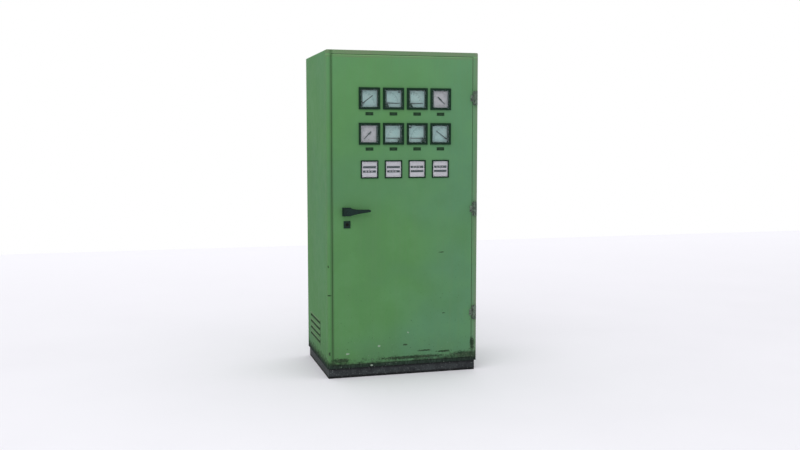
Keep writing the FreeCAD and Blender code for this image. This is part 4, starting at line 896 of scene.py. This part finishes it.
class CABINET_OT_meters(bpy.types.Operator):
    """Model the eight large meters: bezels, funnels, dials, scales, bridges and pointers"""
    bl_idname = "cabinet.meters"
    bl_label = "Meters"

    def case(self, lip):
        """A bezel round an open window, a tube behind the door, and a closed rear with two studs."""
        bezel = block("bezel", (-METER_HALF, CASES_LOW.y, -METER_HALF), (METER_HALF, FRONT, METER_HALF))
        edit(bezel, along_depth, ("inset", {"thickness": lip}), ("bridge_edge_loops", {}))
        edit(bezel, facing(0, -1, 0), ("inset", {"thickness": lip * 0.22}),
             ("inset", {"thickness": 0.5 * MM, "depth": -0.6 * MM}))
        soften(bezel, 0.8 * MM, 3, 50)
        rear = CASE_REAR_HALF
        tube = block("tube", (-rear, FRONT, -rear), (rear, DIAL_HIGH.y + 0.2 * MM, rear))
        edit(tube, along_depth, ("inset", {"thickness": rear - METER_HALF + lip + 0.1 * MM}),
             ("bridge_edge_loops", {}))
        body = block("body", (-rear, DIAL_HIGH.y + 0.2 * MM, -rear), (rear, CASES_HIGH.y, rear))
        edit(body, facing(0, 1, 0), ("inset", {"thickness": 6 * MM}),
             ("inset", {"thickness": 1 * MM, "depth": -1.5 * MM}))
        soften(body, 1.5 * MM, 2, 50)
        parts = [bezel, tube, body]
        for side in (-1, 1):
            at = Vector((side * 20 * MM, CASES_HIGH.y - 1.5 * MM, 18 * MM))
            parts.append(hexagon("nut", at, (0, 1, 0), 8 * MM, 1.4 * MM))
        return joined("case", *parts)

    def funnel(self, side, lip, slope):
        """The black inner wall from glass to dial, sloping in on the pivot's side: the case's own wall,
        widened there into a dark piece that stands in for painted shade.
        """
        half = METER_HALF - lip - 0.2 * MM
        front = CASES_LOW.y + 4.8 * MM
        back = DIAL_LOW.y - 0.1 * MM
        wall = block("funnel", (-half, front, -half), (half, back, half))
        edit(wall, along_depth, ("inset", {"thickness": 0.8 * MM}), ("bridge_edge_loops", {}))
        hole = half - 0.6 * MM

        def rear_hole(co):
            return co.y > back - MM and max(abs(co.x), abs(co.z)) < hole
        shift(wall, lambda co: rear_hole(co) and co.x * side < 0, (side * slope, 0, 0))
        shift(wall, lambda co: rear_hole(co) and co.z > 0, (0, 0, -2.5 * MM))
        shift(wall, lambda co: rear_hole(co) and co.z < 0, (0, 0, 1.5 * MM))
        shift(wall, lambda co: rear_hole(co) and co.x * side > 0, (-side * 1.5 * MM, 0, 0))
        return wall

    def tick(self, centre, inner, outer, width, angle):
        """A printed dash between two radii of a dial, at an angle from the right."""
        reach = (inner + outer) / 2
        at = (centre.x + reach * math.cos(angle), DIAL_LOW.y - PRINT_LIFT,
              centre.z + reach * math.sin(angle))
        clear()
        bpy.ops.mesh.primitive_cube_add(size=1, location=at, rotation=(0, -angle, 0),
                                        scale=(outer - inner, 0.12 * MM, width))
        return settle("tick")

    def arc(self, centre, inner, outer, start, sweep):
        """A printed arc, drawn by spinning a short dash about the dial's pivot."""
        dash = self.tick(centre, inner, outer, 0.05 * MM, start)
        turn = 1 if sweep > 0 else -1
        way = Vector((-math.sin(start), 0, math.cos(start))) * turn
        return edit(dash, lambda c, n: n.dot(way) > 0.9,
                    ("spin", {"steps": 24, "angle": abs(sweep), "center": centre,
                              "axis": (0, turn, 0)}))

    def ticks(self, centre, inner, outer, width, start, sweep, count):
        return joined("ticks", *[self.tick(centre, inner, outer, width, start + sweep * i / count)
                                 for i in range(count + 1)])

    def numeral(self, text, centre, radius, angle, size):
        clear()
        place = (centre.x + radius * math.cos(angle), DIAL_LOW.y - PRINT_LIFT,
                 centre.z + radius * math.sin(angle))
        bpy.ops.object.text_add(location=place, rotation=(math.pi / 2, 0, 0))
        letters = bpy.context.object.data
        letters.body = text
        letters.size = size
        letters.align_x = "CENTER"
        letters.align_y = "CENTER"
        letters.extrude = 0.04 * MM
        letters.resolution_u = 2
        bpy.ops.object.convert(target="MESH")
        return settle("numeral")

    def prints(self, index, settings):
        """The black scale of one dial: a quadrant about its pivot, or a full ring."""
        x, z = METERS[index]
        hub = JOINT_AT["pointer_%d_swing" % (index + 1)]
        if index in CENTRE_METERS:
            centre = Vector((x, 0, z))
            parts = [self.ticks(centre, 31 * MM, 34 * MM, 0.5 * MM, 0, 2 * math.pi, 36)]
            parts += [self.numeral(str(i * 10), centre, 26.5 * MM, math.pi / 2 - i * math.pi / 3,
                                   settings.numeral * 0.75) for i in range(6)]
            return parts
        side = 1 if hub.x < x else -1
        first = 0.0 if side > 0 else math.pi
        radius = settings.scale_radius
        quarter = side * math.pi / 2
        parts = [self.arc(hub, radius - 0.3 * MM, radius + 0.3 * MM, first, quarter),
                 self.ticks(hub, radius, radius + 3 * MM, 0.4 * MM, first, quarter, 20),
                 self.ticks(hub, radius, radius + 4.5 * MM, 0.9 * MM, first, quarter, 5)]
        step = DIAL_STEPS[index]
        parts += [self.numeral(str(i * step), hub, radius - 6 * MM, first + quarter * (i + 0.12) / 5.25,
                               settings.numeral * 0.8) for i in range(1, 6)]
        if index in BADGED_METERS:
            at = Vector((x + side * 28 * MM, DIAL_LOW.y, z + 30 * MM))
            parts.append(block("badge", at - Vector((5 * MM, 0.12 * MM, 3.4 * MM)),
                               at + Vector((5 * MM, 0, 3.4 * MM))))
        return parts

    def dials(self, places):
        """Blue-grey plates behind the quadrant scales, and grey ones behind the two round ones."""
        dial = block("dial", (-DIAL_HALF, DIAL_LOW.y, -DIAL_HALF), (DIAL_HALF, DIAL_HIGH.y, DIAL_HALF))
        soften(dial, 0.2 * MM)
        plain = [place for i, place in enumerate(places) if i not in CENTRE_METERS]
        other = twin_of(dial)
        fit(copies("dial_plates", dial, plain), "meter_dials")
        greys = copies("round_dial_plates", other, [places[i] for i in CENTRE_METERS])
        fit(greys, body="door", slot="dial_enamel", material="grey_card")

    def bridges(self):
        """A black bridge over each pointer's pivot, with its screw."""
        bridges = []
        for i, (x, _) in enumerate(METERS):
            hub = JOINT_AT["pointer_%d_swing" % (i + 1)]
            outward = 0 if i in CENTRE_METERS else (-1 if hub.x < x else 1)
            reach = 6 * MM if outward == 0 else 9 * MM
            low = (hub.x + outward * 2 * MM - reach, hub.y - 4.2 * MM, hub.z - 1.9 * MM)
            high = (hub.x + outward * 2 * MM + reach, hub.y - 2.0 * MM, hub.z + 1.9 * MM)
            bridges.append(block("bridge", low, high))
            bridges.append(round_bar("pivot_screw", (hub.x, hub.y - 5 * MM, hub.z),
                                     (hub.x, hub.y - 4 * MM, hub.z), 2.6 * MM, 16))
        fit(soften(joined("meter_bridges", *bridges), 0.4 * MM), body="door", slot="meter_black",
            material="pointer_black")

    def execute(self, context):
        settings = context.scene.cabinet_meters
        lip = settings.lip
        places = [(x, 0, z) for x, z in METERS]
        fit(copies("meter_bezels", self.case(lip), places), "meter_cases")
        funnels = [copies("row", self.funnel(side, lip, slope), [(x, 0, z) for x in COLUMNS])
                   for side, slope, z in zip((1, -1), FUNNEL_SLOPES, ROWS)]
        fit(soften(joined("meter_funnels", *funnels), 0.3 * MM), body="door", slot="meter_black",
            material="funnel_black")
        self.dials(places)
        inks = [part for i in range(len(METERS)) for part in self.prints(i, settings)]
        scales = joined("dial_scales", *inks)
        edit(scales, lambda c, n: True, ("normals_make_consistent", {"inside": False}))
        fit(scales, body="door", slot="label_black", material="dial_ink")
        self.bridges()
        rework("meter_hub_covers", 0.8 * MM, 3)
        rework("meter_movements", 1.5 * MM)
        rework("meter_clamps", 0.8 * MM)
        for i in range(1, len(METERS) + 1):
            rework("pointer_%d" % i, 0.15 * MM, 1)
        dress("instrument_windows")
        return {"FINISHED"}


class CABINET_OT_reed_meters(bpy.types.Operator):
    """Model the four reed meters: bezels, printed faces and their rows of reed tips"""
    bl_idname = "cabinet.reed_meters"
    bl_label = "Reed meters"

    def execute(self, context):
        half, lip, rear = REED_BEZEL_HALF, REED_LIP, REED_REAR_HALF
        bezel = block("bezel", (-half, REED_LOW.y, -half), (half, FRONT, half))
        edit(bezel, along_depth, ("inset", {"thickness": lip}), ("bridge_edge_loops", {}))
        edit(bezel, facing(0, -1, 0), ("inset", {"thickness": lip * 0.25}),
             ("inset", {"thickness": 0.4 * MM, "depth": -0.4 * MM}))
        soften(bezel, 0.6 * MM, 2, 50)
        body = block("body", (-rear, FRONT, -rear), (rear, REED_HIGH.y, rear))
        edit(body, facing(0, -1, 0), ("inset", {"thickness": rear - half + lip + 0.2 * MM}),
             ("inset", {"thickness": 0.05 * MM, "depth": -22 * MM}))
        soften(body, 1 * MM, 2, 50)
        case = joined("case", bezel, body)
        fit(copies("reed_meter_bezels", case, [(x, 0, REED_Z) for x in COLUMNS]), "reed_meter_cases")
        face_low, face_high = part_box("reed_meter_faces")
        rework("reed_meter_faces", 0.15 * MM, 1)
        dress("reed_tongues")
        pitch, offset, count = REED_PITCH, REED_ROW_OFFSET, REED_COUNT
        tip = block("tip", (-pitch * 0.42, face_low.y + 0.5 * MM, -3.2 * MM),
                    (pitch * 0.42, face_high.y + 2.5 * MM, 3.2 * MM))
        soften(tip, 0.4 * MM, 1)
        pale = twin_of(tip)
        dark_places, pale_places = [], []
        for column, x in enumerate(COLUMNS):
            lively = -1 if column < 2 else 1
            for row in (-1, 1):
                for i in range(count):
                    swings = row == lively and i % 3 != 1 and 2 <= i <= 10
                    place = (x + (i - (count - 1) / 2) * pitch, 0, REED_Z + row * offset)
                    (pale_places if swings else dark_places).append(place)
        fit(copies("reed_tips", tip, dark_places), body="door", slot="reed_steel",
            material="reed_dark")
        shorter = copies("reed_tips_lively", pale, pale_places)
        for column, x in enumerate(COLUMNS):
            middle = REED_Z + (-1 if column < 2 else 1) * offset
            shift(shorter, lambda co: abs(co.x - x) < half and co.z > middle, (0, 0, -1.8 * MM))
            shift(shorter, lambda co: abs(co.x - x) < half and co.z < middle, (0, 0, 1.8 * MM))
        fit(shorter, body="door", slot="reed_steel", material="reed_white")
        marks = []
        for x in COLUMNS:
            for i in range(count):
                for z in (REED_Z + 15.6 * MM, REED_Z - 15.6 * MM):
                    at = x + (i - (count - 1) / 2) * pitch
                    marks.append(block("reed_tick", (at - 0.2 * MM, face_low.y - 0.1 * MM, z - 1.2 * MM),
                                       (at + 0.2 * MM, face_low.y, z + 1.2 * MM)))
            marks.append(round_bar("reed_centre", (x, face_low.y - 0.1 * MM, REED_Z),
                                   (x, face_low.y, REED_Z), 1.6 * MM, 12))
        borders = []
        for x in COLUMNS:
            for row in (-1, 1):
                z = REED_Z + row * offset
                reach = REED_ROW_LENGTH / 2 + 1.2 * MM
                border = block("border", (x - reach, face_low.y - 0.15 * MM, z - 5 * MM),
                               (x + reach, face_low.y, z + 5 * MM))
                edit(border, along_depth, ("inset", {"thickness": 1.3 * MM}), ("bridge_edge_loops", {}))
                borders.append(border)
        fit(joined("reed_borders", *borders), body="door", slot="label_black", material="reed_dark")
        fit(joined("reed_scales", *marks), body="door", slot="label_black", material="faded_ink")
        return {"FINISHED"}


class CABINET_OT_labels(bpy.types.Operator):
    """Model the blank engraved label plates under the large meters"""
    bl_idname = "cabinet.labels"
    bl_label = "Label plates"

    def execute(self, context):
        low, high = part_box("label_plates")
        half, rise = LABEL_HALF
        drop = (ROWS[1] - low.z) - rise
        plate = block("plate", (-half, low.y, -rise), (half, high.y, rise))
        edit(plate, facing(0, -1, 0), ("inset", {"thickness": 1.6 * MM}),
             ("inset", {"thickness": 0.4 * MM, "depth": -0.3 * MM}))
        soften(plate, 0.35 * MM, 2, 50)
        places = [(x, 0, z - drop) for x, z in METERS]
        fit(copies("blank_labels", plate, places), "label_plates")
        parts = []
        for z, reach in ((2 * MM, 9 * MM), (-2 * MM, 6 * MM)):
            parts.append(block("bar", (-reach, low.y + 0.1 * MM, z - 0.8 * MM),
                               (reach, low.y + 0.5 * MM, z + 0.8 * MM)))
        for side in (-1, 1):
            parts.append(soften(round_bar("rivet", (side * 13.5 * MM, low.y - 0.5 * MM, 0),
                                          (side * 13.5 * MM, low.y + 0.5 * MM, 0), 1.3 * MM, 12), 0.3 * MM))
        fit(copies("label_bars", joined("bars", *parts), places), body="door", slot="label_black",
            material="label_ink")
        return {"FINISHED"}


class CABINET_OT_handle(bpy.types.Operator):
    """Shape the lever handle, its base and spindle, and the latch behind the door"""
    bl_idname = "cabinet.handle"
    bl_label = "Handle and latch"

    def execute(self, context):
        pivot = JOINT_AT["handle_turn"]
        lever_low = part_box("handle_lever")[0]
        lever = soften(merged_copy("handle_lever"), 2.6 * MM, 4, 40)
        cap = round_bar("hub_cap", (pivot.x, lever_low.y - 1.6 * MM, pivot.z),
                        (pivot.x, lever_low.y + 1 * MM, pivot.z), 11 * MM, 40)
        edit(cap, facing(0, -1, 0), ("inset", {"thickness": 3.5 * MM}),
             ("inset", {"thickness": 1 * MM, "depth": -1 * MM}))
        soften(cap, 0.6 * MM, 3)
        fit(joined("lever_handle", lever, cap), "handle_lever")
        base = soften(merged_copy("handle_base"), 1.5 * MM, 3)
        fit(base, "handle_base")
        screws = []
        base_low, base_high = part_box("handle_base")
        inset = 4.6 * MM
        for x in (base_low.x + inset, base_high.x - inset):
            for z in (base_low.z + inset, base_high.z - inset):
                screws.append(slotted_head("base_screw", (x, base_low.y + 0.1 * MM, z), TOWARDS_FRONT,
                                           2.6 * MM, 1.2 * MM))
        fit(joined("handle_base_screws", *screws), body="door", slot="zinc_steel",
            material="handle_black")
        for node in ("handle_spindle", "latch_pinion", "upper_latch_rod", "lower_latch_rod"):
            rework(node, 0.4 * MM)
        return {"FINISHED"}


class CABINET_OT_lock(bpy.types.Operator):
    """Shape the lock's plate, barrel, core and tongue"""
    bl_idname = "cabinet.lock"
    bl_label = "Lock"

    def execute(self, context):
        rework("lock_housing", 1.0 * MM, 3)
        rework("lock_core", 0.3 * MM)
        rework("lock_tongue", 0.4 * MM)
        at = JOINT_AT["lock_turn"]
        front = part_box("lock_housing")[0].y
        ring = round_bar("ring", (at.x, front - 0.8 * MM, at.z), (at.x, front, at.z), 11.5 * MM, 40)
        edit(ring, along_depth, ("inset", {"thickness": 3.8 * MM}), ("bridge_edge_loops", {}))
        fit(soften(ring, 0.25 * MM), body="door", slot="handle_black")
        ring.name = "lock_ring"
        return {"FINISHED"}


class CABINET_OT_switchgear(bpy.types.Operator):
    """Detail the breakers, busbars, current transformers and their posts"""
    bl_idname = "cabinet.switchgear"
    bl_label = "Switchgear"

    def breaker(self, node, cover, terminals):
        """A moulded case with a raised front, terminal pockets and their screws."""
        low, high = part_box(node)
        piece = soften(merged_copy(node), 1.2 * MM, 3)
        middle = (low + high) / 2
        pocket = (high.x - low.x) / (terminals + 0.5)
        parts = [piece]
        for side in (-1, 1):
            edge = high.z if side > 0 else low.z
            for i in range(terminals):
                x = middle.x + (i - (terminals - 1) / 2) * pocket
                z = edge - side * cover * 0.5
                recess = block("recess", (x - pocket * 0.36, low.y - MM, z - cover * 0.3),
                               (x + pocket * 0.36, low.y + 5 * MM, z + cover * 0.3))
                carve(piece, recess)
                screw = slotted_head("terminal_screw", (x, low.y + 4.9 * MM, z), TOWARDS_FRONT,
                                     pocket * 0.2, 2.4 * MM)
                parts.append(screw)
        return parts

    def execute(self, context):
        for node, cover in (("main_breaker", 30 * MM), ("control_breaker", 16 * MM)):
            body, *screws = self.breaker(node, cover, 3)
            fit(body, node)
            body.name = node + "_case"
            fit(joined(node + "_screws", *screws), body="cabinet", slot="zinc_steel")
        rework("main_breaker_toggle", 1.2 * MM, 3)
        rework("control_breaker_toggle", 0.9 * MM, 3)
        rework("busbars", 0.6 * MM)
        rework("current_transformers", 1.2 * MM, 3)
        low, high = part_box("busbars")
        pitch = (high.x - low.x - BUSBAR_WIDTH) / 2
        bolts = []
        for i in range(3):
            for z in (low.z + 12 * MM, high.z - 12 * MM):
                at = Vector((low.x + BUSBAR_WIDTH / 2 + i * pitch, low.y + 0.1 * MM, z))
                bolts.append(round_bar("washer", at, at + TOWARDS_FRONT * 1.2 * MM, 6.5 * MM))
                bolts.append(hexagon("bolt", at + TOWARDS_FRONT * 1.1 * MM, TOWARDS_FRONT,
                                     9 * MM, 4 * MM))
        fit(joined("busbar_bolts", *bolts), body="cabinet", slot="zinc_steel")
        low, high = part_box("busbar_insulators")
        radius = (high.z - low.z) / 2
        post = round_bar("post", (0, low.y, 0), (0, high.y, 0), radius * 0.78, 32)
        depth = high.y - low.y
        ribs = [post]
        for i in range(3):
            y = low.y + depth * (i + 0.6) / 3.2
            ribs.append(soften(round_bar("rib", (0, y - 2 * MM, 0), (0, y + 2 * MM, 0), radius, 32), MM))
        places = [(low.x + radius + i * (high.x - low.x - 2 * radius) / 2, 0, low.z + radius)
                  for i in range(3)]
        fit(copies("ribbed_posts", joined("post", *ribs), places), "busbar_insulators")
        return {"FINISHED"}


class CABINET_OT_control_gear(bpy.types.Operator):
    """Detail the transformer, relays, terminals and earth bar"""
    bl_idname = "cabinet.control_gear"
    bl_label = "Control gear"

    def relays(self):
        low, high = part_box("relays")
        pitch = (high.x - low.x - RELAY_WIDTH) / 3
        centres = [low.x + RELAY_WIDTH / 2 + i * pitch for i in range(4)]
        depth = high.y - low.y
        rework("relays", 1.2 * MM, 3)
        coil = round_bar("coil", (0, low.y + depth * 0.45, low.z + 6 * MM),
                         (0, low.y + depth * 0.45, high.z - 6 * MM), 7 * MM, 28)
        edit(coil, facing(0, 0, 1), ("inset", {"thickness": 2 * MM}),
             ("extrude_region_move", {"TRANSFORM_OT_translate": {"value": (0, 0, 2 * MM)}}))
        yoke = block("yoke", (-9 * MM, low.y + depth * 0.72, low.z + 4 * MM),
                     (9 * MM, low.y + depth * 0.76, high.z - 4 * MM))
        arm = block("arm", (-9 * MM, low.y + depth * 0.2, low.z + 4 * MM),
                    (9 * MM, low.y + depth * 0.74, low.z + 6 * MM))
        inner = soften(joined("inner", coil, yoke, arm), 0.3 * MM)
        fit(copies("relay_coils", inner, [(x, 0, 0) for x in centres]), body="cabinet",
            slot="copper", material="coil_varnish")
        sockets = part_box("relay_sockets")
        rework("relay_sockets", 0.8 * MM)
        middle = (sockets[0].z + sockets[1].z) / 2
        screws = []
        for x in centres:
            for side in (-1, 1):
                for step in (-1, 0, 1):
                    at = (x + step * SOCKET_SCREW_PITCH, sockets[0].y + 0.1 * MM,
                          middle + side * SOCKET_SCREW_REACH)
                    screws.append(slotted_head("socket_screw", at, TOWARDS_FRONT, 2.4 * MM, 1.4 * MM))
        fit(joined("socket_screws", *screws), body="cabinet", slot="zinc_steel")

    def terminals(self):
        low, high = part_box("terminal_blocks")
        rework("terminal_blocks", 0.35 * MM, 1)
        middle = (low.z + high.z) / 2
        count = round((high.x - low.x) / TERMINAL_PITCH)
        screw = slotted_head("screw", (0, low.y + 12 * MM, 0), TOWARDS_FRONT, 2.3 * MM, 1.2 * MM)
        places = [(low.x + TERMINAL_PITCH * (i + 0.48), 0, middle + side * TERMINAL_SCREW_REACH)
                  for i in range(count) for side in (-1, 1)]
        fit(copies("terminal_screws", screw, places), body="cabinet", slot="zinc_steel")
        strip = block("strip", (low.x + MM, low.y - 0.6 * MM, middle - 4 * MM),
                      (high.x - MM, low.y + 0.2 * MM, middle + 4 * MM))
        fit(soften(strip, 0.25 * MM), body="cabinet", slot="face_card")
        strip.name = "marker_strip"

    def execute(self, context):
        rework("transformer_core", 0.8 * MM)
        rework("transformer_coil", 2.5 * MM, 4)
        low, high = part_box("transformer_core")
        bolts = []
        for x in (low.x + 6 * MM, high.x - 6 * MM):
            for z in (low.z + 6 * MM, high.z - 6 * MM):
                bolts.append(hexagon("core_bolt", (x, low.y + 0.1 * MM, z), TOWARDS_FRONT, 7 * MM, 3 * MM))
        fit(joined("core_bolts", *bolts), body="cabinet", slot="zinc_steel")
        self.relays()
        self.terminals()
        rework("earth_bar", 0.5 * MM)
        low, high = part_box("earth_bar")
        middle = (low + high) / 2
        at = (middle.x, low.y + 0.1 * MM, middle.z)
        screw = slotted_head("screw", at, TOWARDS_FRONT, 4.4 * MM, 2.6 * MM)
        places = [((i - (EARTH_SCREW_COUNT - 1) / 2) * EARTH_SCREW_PITCH, 0, 0)
                  for i in range(EARTH_SCREW_COUNT)]
        fit(copies("earth_screws", screw, places), body="cabinet", slot="zinc_steel")
        return {"FINISHED"}


class CABINET_OT_ducts(bpy.types.Operator):
    """Model the slotted wiring ducts and their lids"""
    bl_idname = "cabinet.ducts"
    bl_label = "Wiring ducts"

    def duct(self, low, high):
        """A channel open at the front, with rows of slots cut in its two walls."""
        low, high = Vector(low), Vector(high)
        size = high - low
        piece = block("duct", low, high)
        edit(piece, facing(0, -1, 0), ("inset", {"thickness": DUCT_WALL}),
             ("inset", {"thickness": 0.01 * MM, "depth": -(size.y - DUCT_WALL)}))
        upright = size.z > size.x
        length = size.z if upright else size.x
        count = int((length - 20 * MM) / DUCT_SLOT_PITCH)
        first = (length - (count - 1) * DUCT_SLOT_PITCH) / 2
        top = low.y + 7 * MM
        deep = high.y - 14 * MM
        if upright:
            slot = block("slots", (low.x - MM, top, low.z + first - DUCT_SLOT_HALF),
                         (high.x + MM, deep, low.z + first + DUCT_SLOT_HALF))
            step = (0, 0, DUCT_SLOT_PITCH)
        else:
            slot = block("slots", (low.x + first - DUCT_SLOT_HALF, top, low.z - MM),
                         (low.x + first + DUCT_SLOT_HALF, deep, high.z + MM))
            step = (DUCT_SLOT_PITCH, 0, 0)
        use(slot, "ARRAY", count=count, use_relative_offset=False, use_constant_offset=True,
            constant_offset_displace=step)
        return carve(piece, slot)

    def execute(self, context):
        low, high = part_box("wire_ducts")
        across = high.x - DUCT_WIDTH
        ducts = [self.duct((low.x, low.y, low.z), (low.x + DUCT_WIDTH, high.y, high.z)),
                 self.duct((across, low.y, low.z), (high.x, high.y, high.z))]
        ducts += [self.duct((-across, low.y, z), (across, high.y, z + DUCT_WIDTH)) for z in DUCT_LEVELS]
        fit(joined("slotted_ducts", *ducts), "wire_ducts")
        rework("wire_duct_lids", 0.5 * MM)
        return {"FINISHED"}


class CABINET_OT_glands(bpy.types.Operator):
    """Model the cable glands in the floor of the cabinet"""
    bl_idname = "cabinet.glands"
    bl_label = "Cable glands"

    def execute(self, context):
        low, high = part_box("cable_glands")
        plate_low, plate_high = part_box("gland_plate")
        radius = (high.y - low.y) / 2
        top = plate_high.z
        collar = hexagon("collar", (0, 0, top), (0, 0, 1), radius * 1.72, 7 * MM)
        dome = round_bar("dome", (0, 0, top + 6.5 * MM), (0, 0, high.z), radius * 0.8, 32)
        edit(dome, facing(0, 0, 1), ("inset", {"thickness": 5 * MM}),
             ("inset", {"thickness": 0.5 * MM, "depth": -6 * MM}))
        soften(dome, 1.5 * MM, 3, 50)
        stem = round_bar("stem", (0, 0, low.z), (0, 0, plate_low.z), radius * 0.78, 32)
        rings = []
        for i in range(GLAND_THREADS):
            z = low.z + (plate_low.z - low.z) * (i + 0.5) / GLAND_THREADS
            rings.append(soften(round_bar("ring", (0, 0, z - 0.7 * MM), (0, 0, z + 0.7 * MM),
                                          radius * 0.8, 32), 0.4 * MM, 1))
        nut = hexagon("nut", (0, 0, plate_low.z), (0, 0, -1), radius * 1.72, 4 * MM)
        gland = joined("gland", collar, dome, stem, nut, *rings)
        gap = (high.x - low.x - 2 * radius) / (GLAND_COUNT - 1)
        places = [(low.x + radius + i * gap, 0, 0) for i in range(GLAND_COUNT)]
        fit(copies("glands", gland, places), "cable_glands")
        return {"FINISHED"}


class CABINET_PT_finish(bpy.types.Panel):
    """Settings and steps of the cabinet's finish"""
    bl_idname = "CABINET_PT_finish"
    bl_label = "Control Cabinet"
    bl_space_type = "VIEW_3D"
    bl_region_type = "UI"
    bl_category = "Cabinet"

    def draw(self, context):
        for group in ("cabinet_paint", "cabinet_meters", "cabinet_stage"):
            settings = getattr(context.scene, group)
            box = self.layout.box()
            for name in settings.bl_rna.properties.keys():
                if name not in ("rna_type", "name"):
                    box.prop(settings, name)
        for step in STEPS:
            self.layout.operator(step.bl_idname)


STEPS = (CABINET_OT_stage, CABINET_OT_carcass, CABINET_OT_hinges, CABINET_OT_meters,
         CABINET_OT_reed_meters, CABINET_OT_labels, CABINET_OT_handle, CABINET_OT_lock,
         CABINET_OT_switchgear, CABINET_OT_control_gear, CABINET_OT_ducts, CABINET_OT_glands)
SETTINGS = {"cabinet_paint": CabinetPaint, "cabinet_meters": CabinetMeters,
            "cabinet_stage": CabinetStage}


def register():
    for group in SETTINGS.values():
        bpy.utils.register_class(group)
    for name, group in SETTINGS.items():
        setattr(bpy.types.Scene, name, bpy.props.PointerProperty(type=group))
    for step in STEPS:
        bpy.utils.register_class(step)
    bpy.utils.register_class(CABINET_PT_finish)


def unregister():
    bpy.utils.unregister_class(CABINET_PT_finish)
    for step in reversed(STEPS):
        bpy.utils.unregister_class(step)
    for name in SETTINGS:
        delattr(bpy.types.Scene, name)
    for group in SETTINGS.values():
        bpy.utils.unregister_class(group)


def main():
    register()
    for step in STEPS:
        family, name = step.bl_idname.split(".")
        getattr(getattr(bpy.ops, family), name)()


if __name__ == "__main__":
    main()
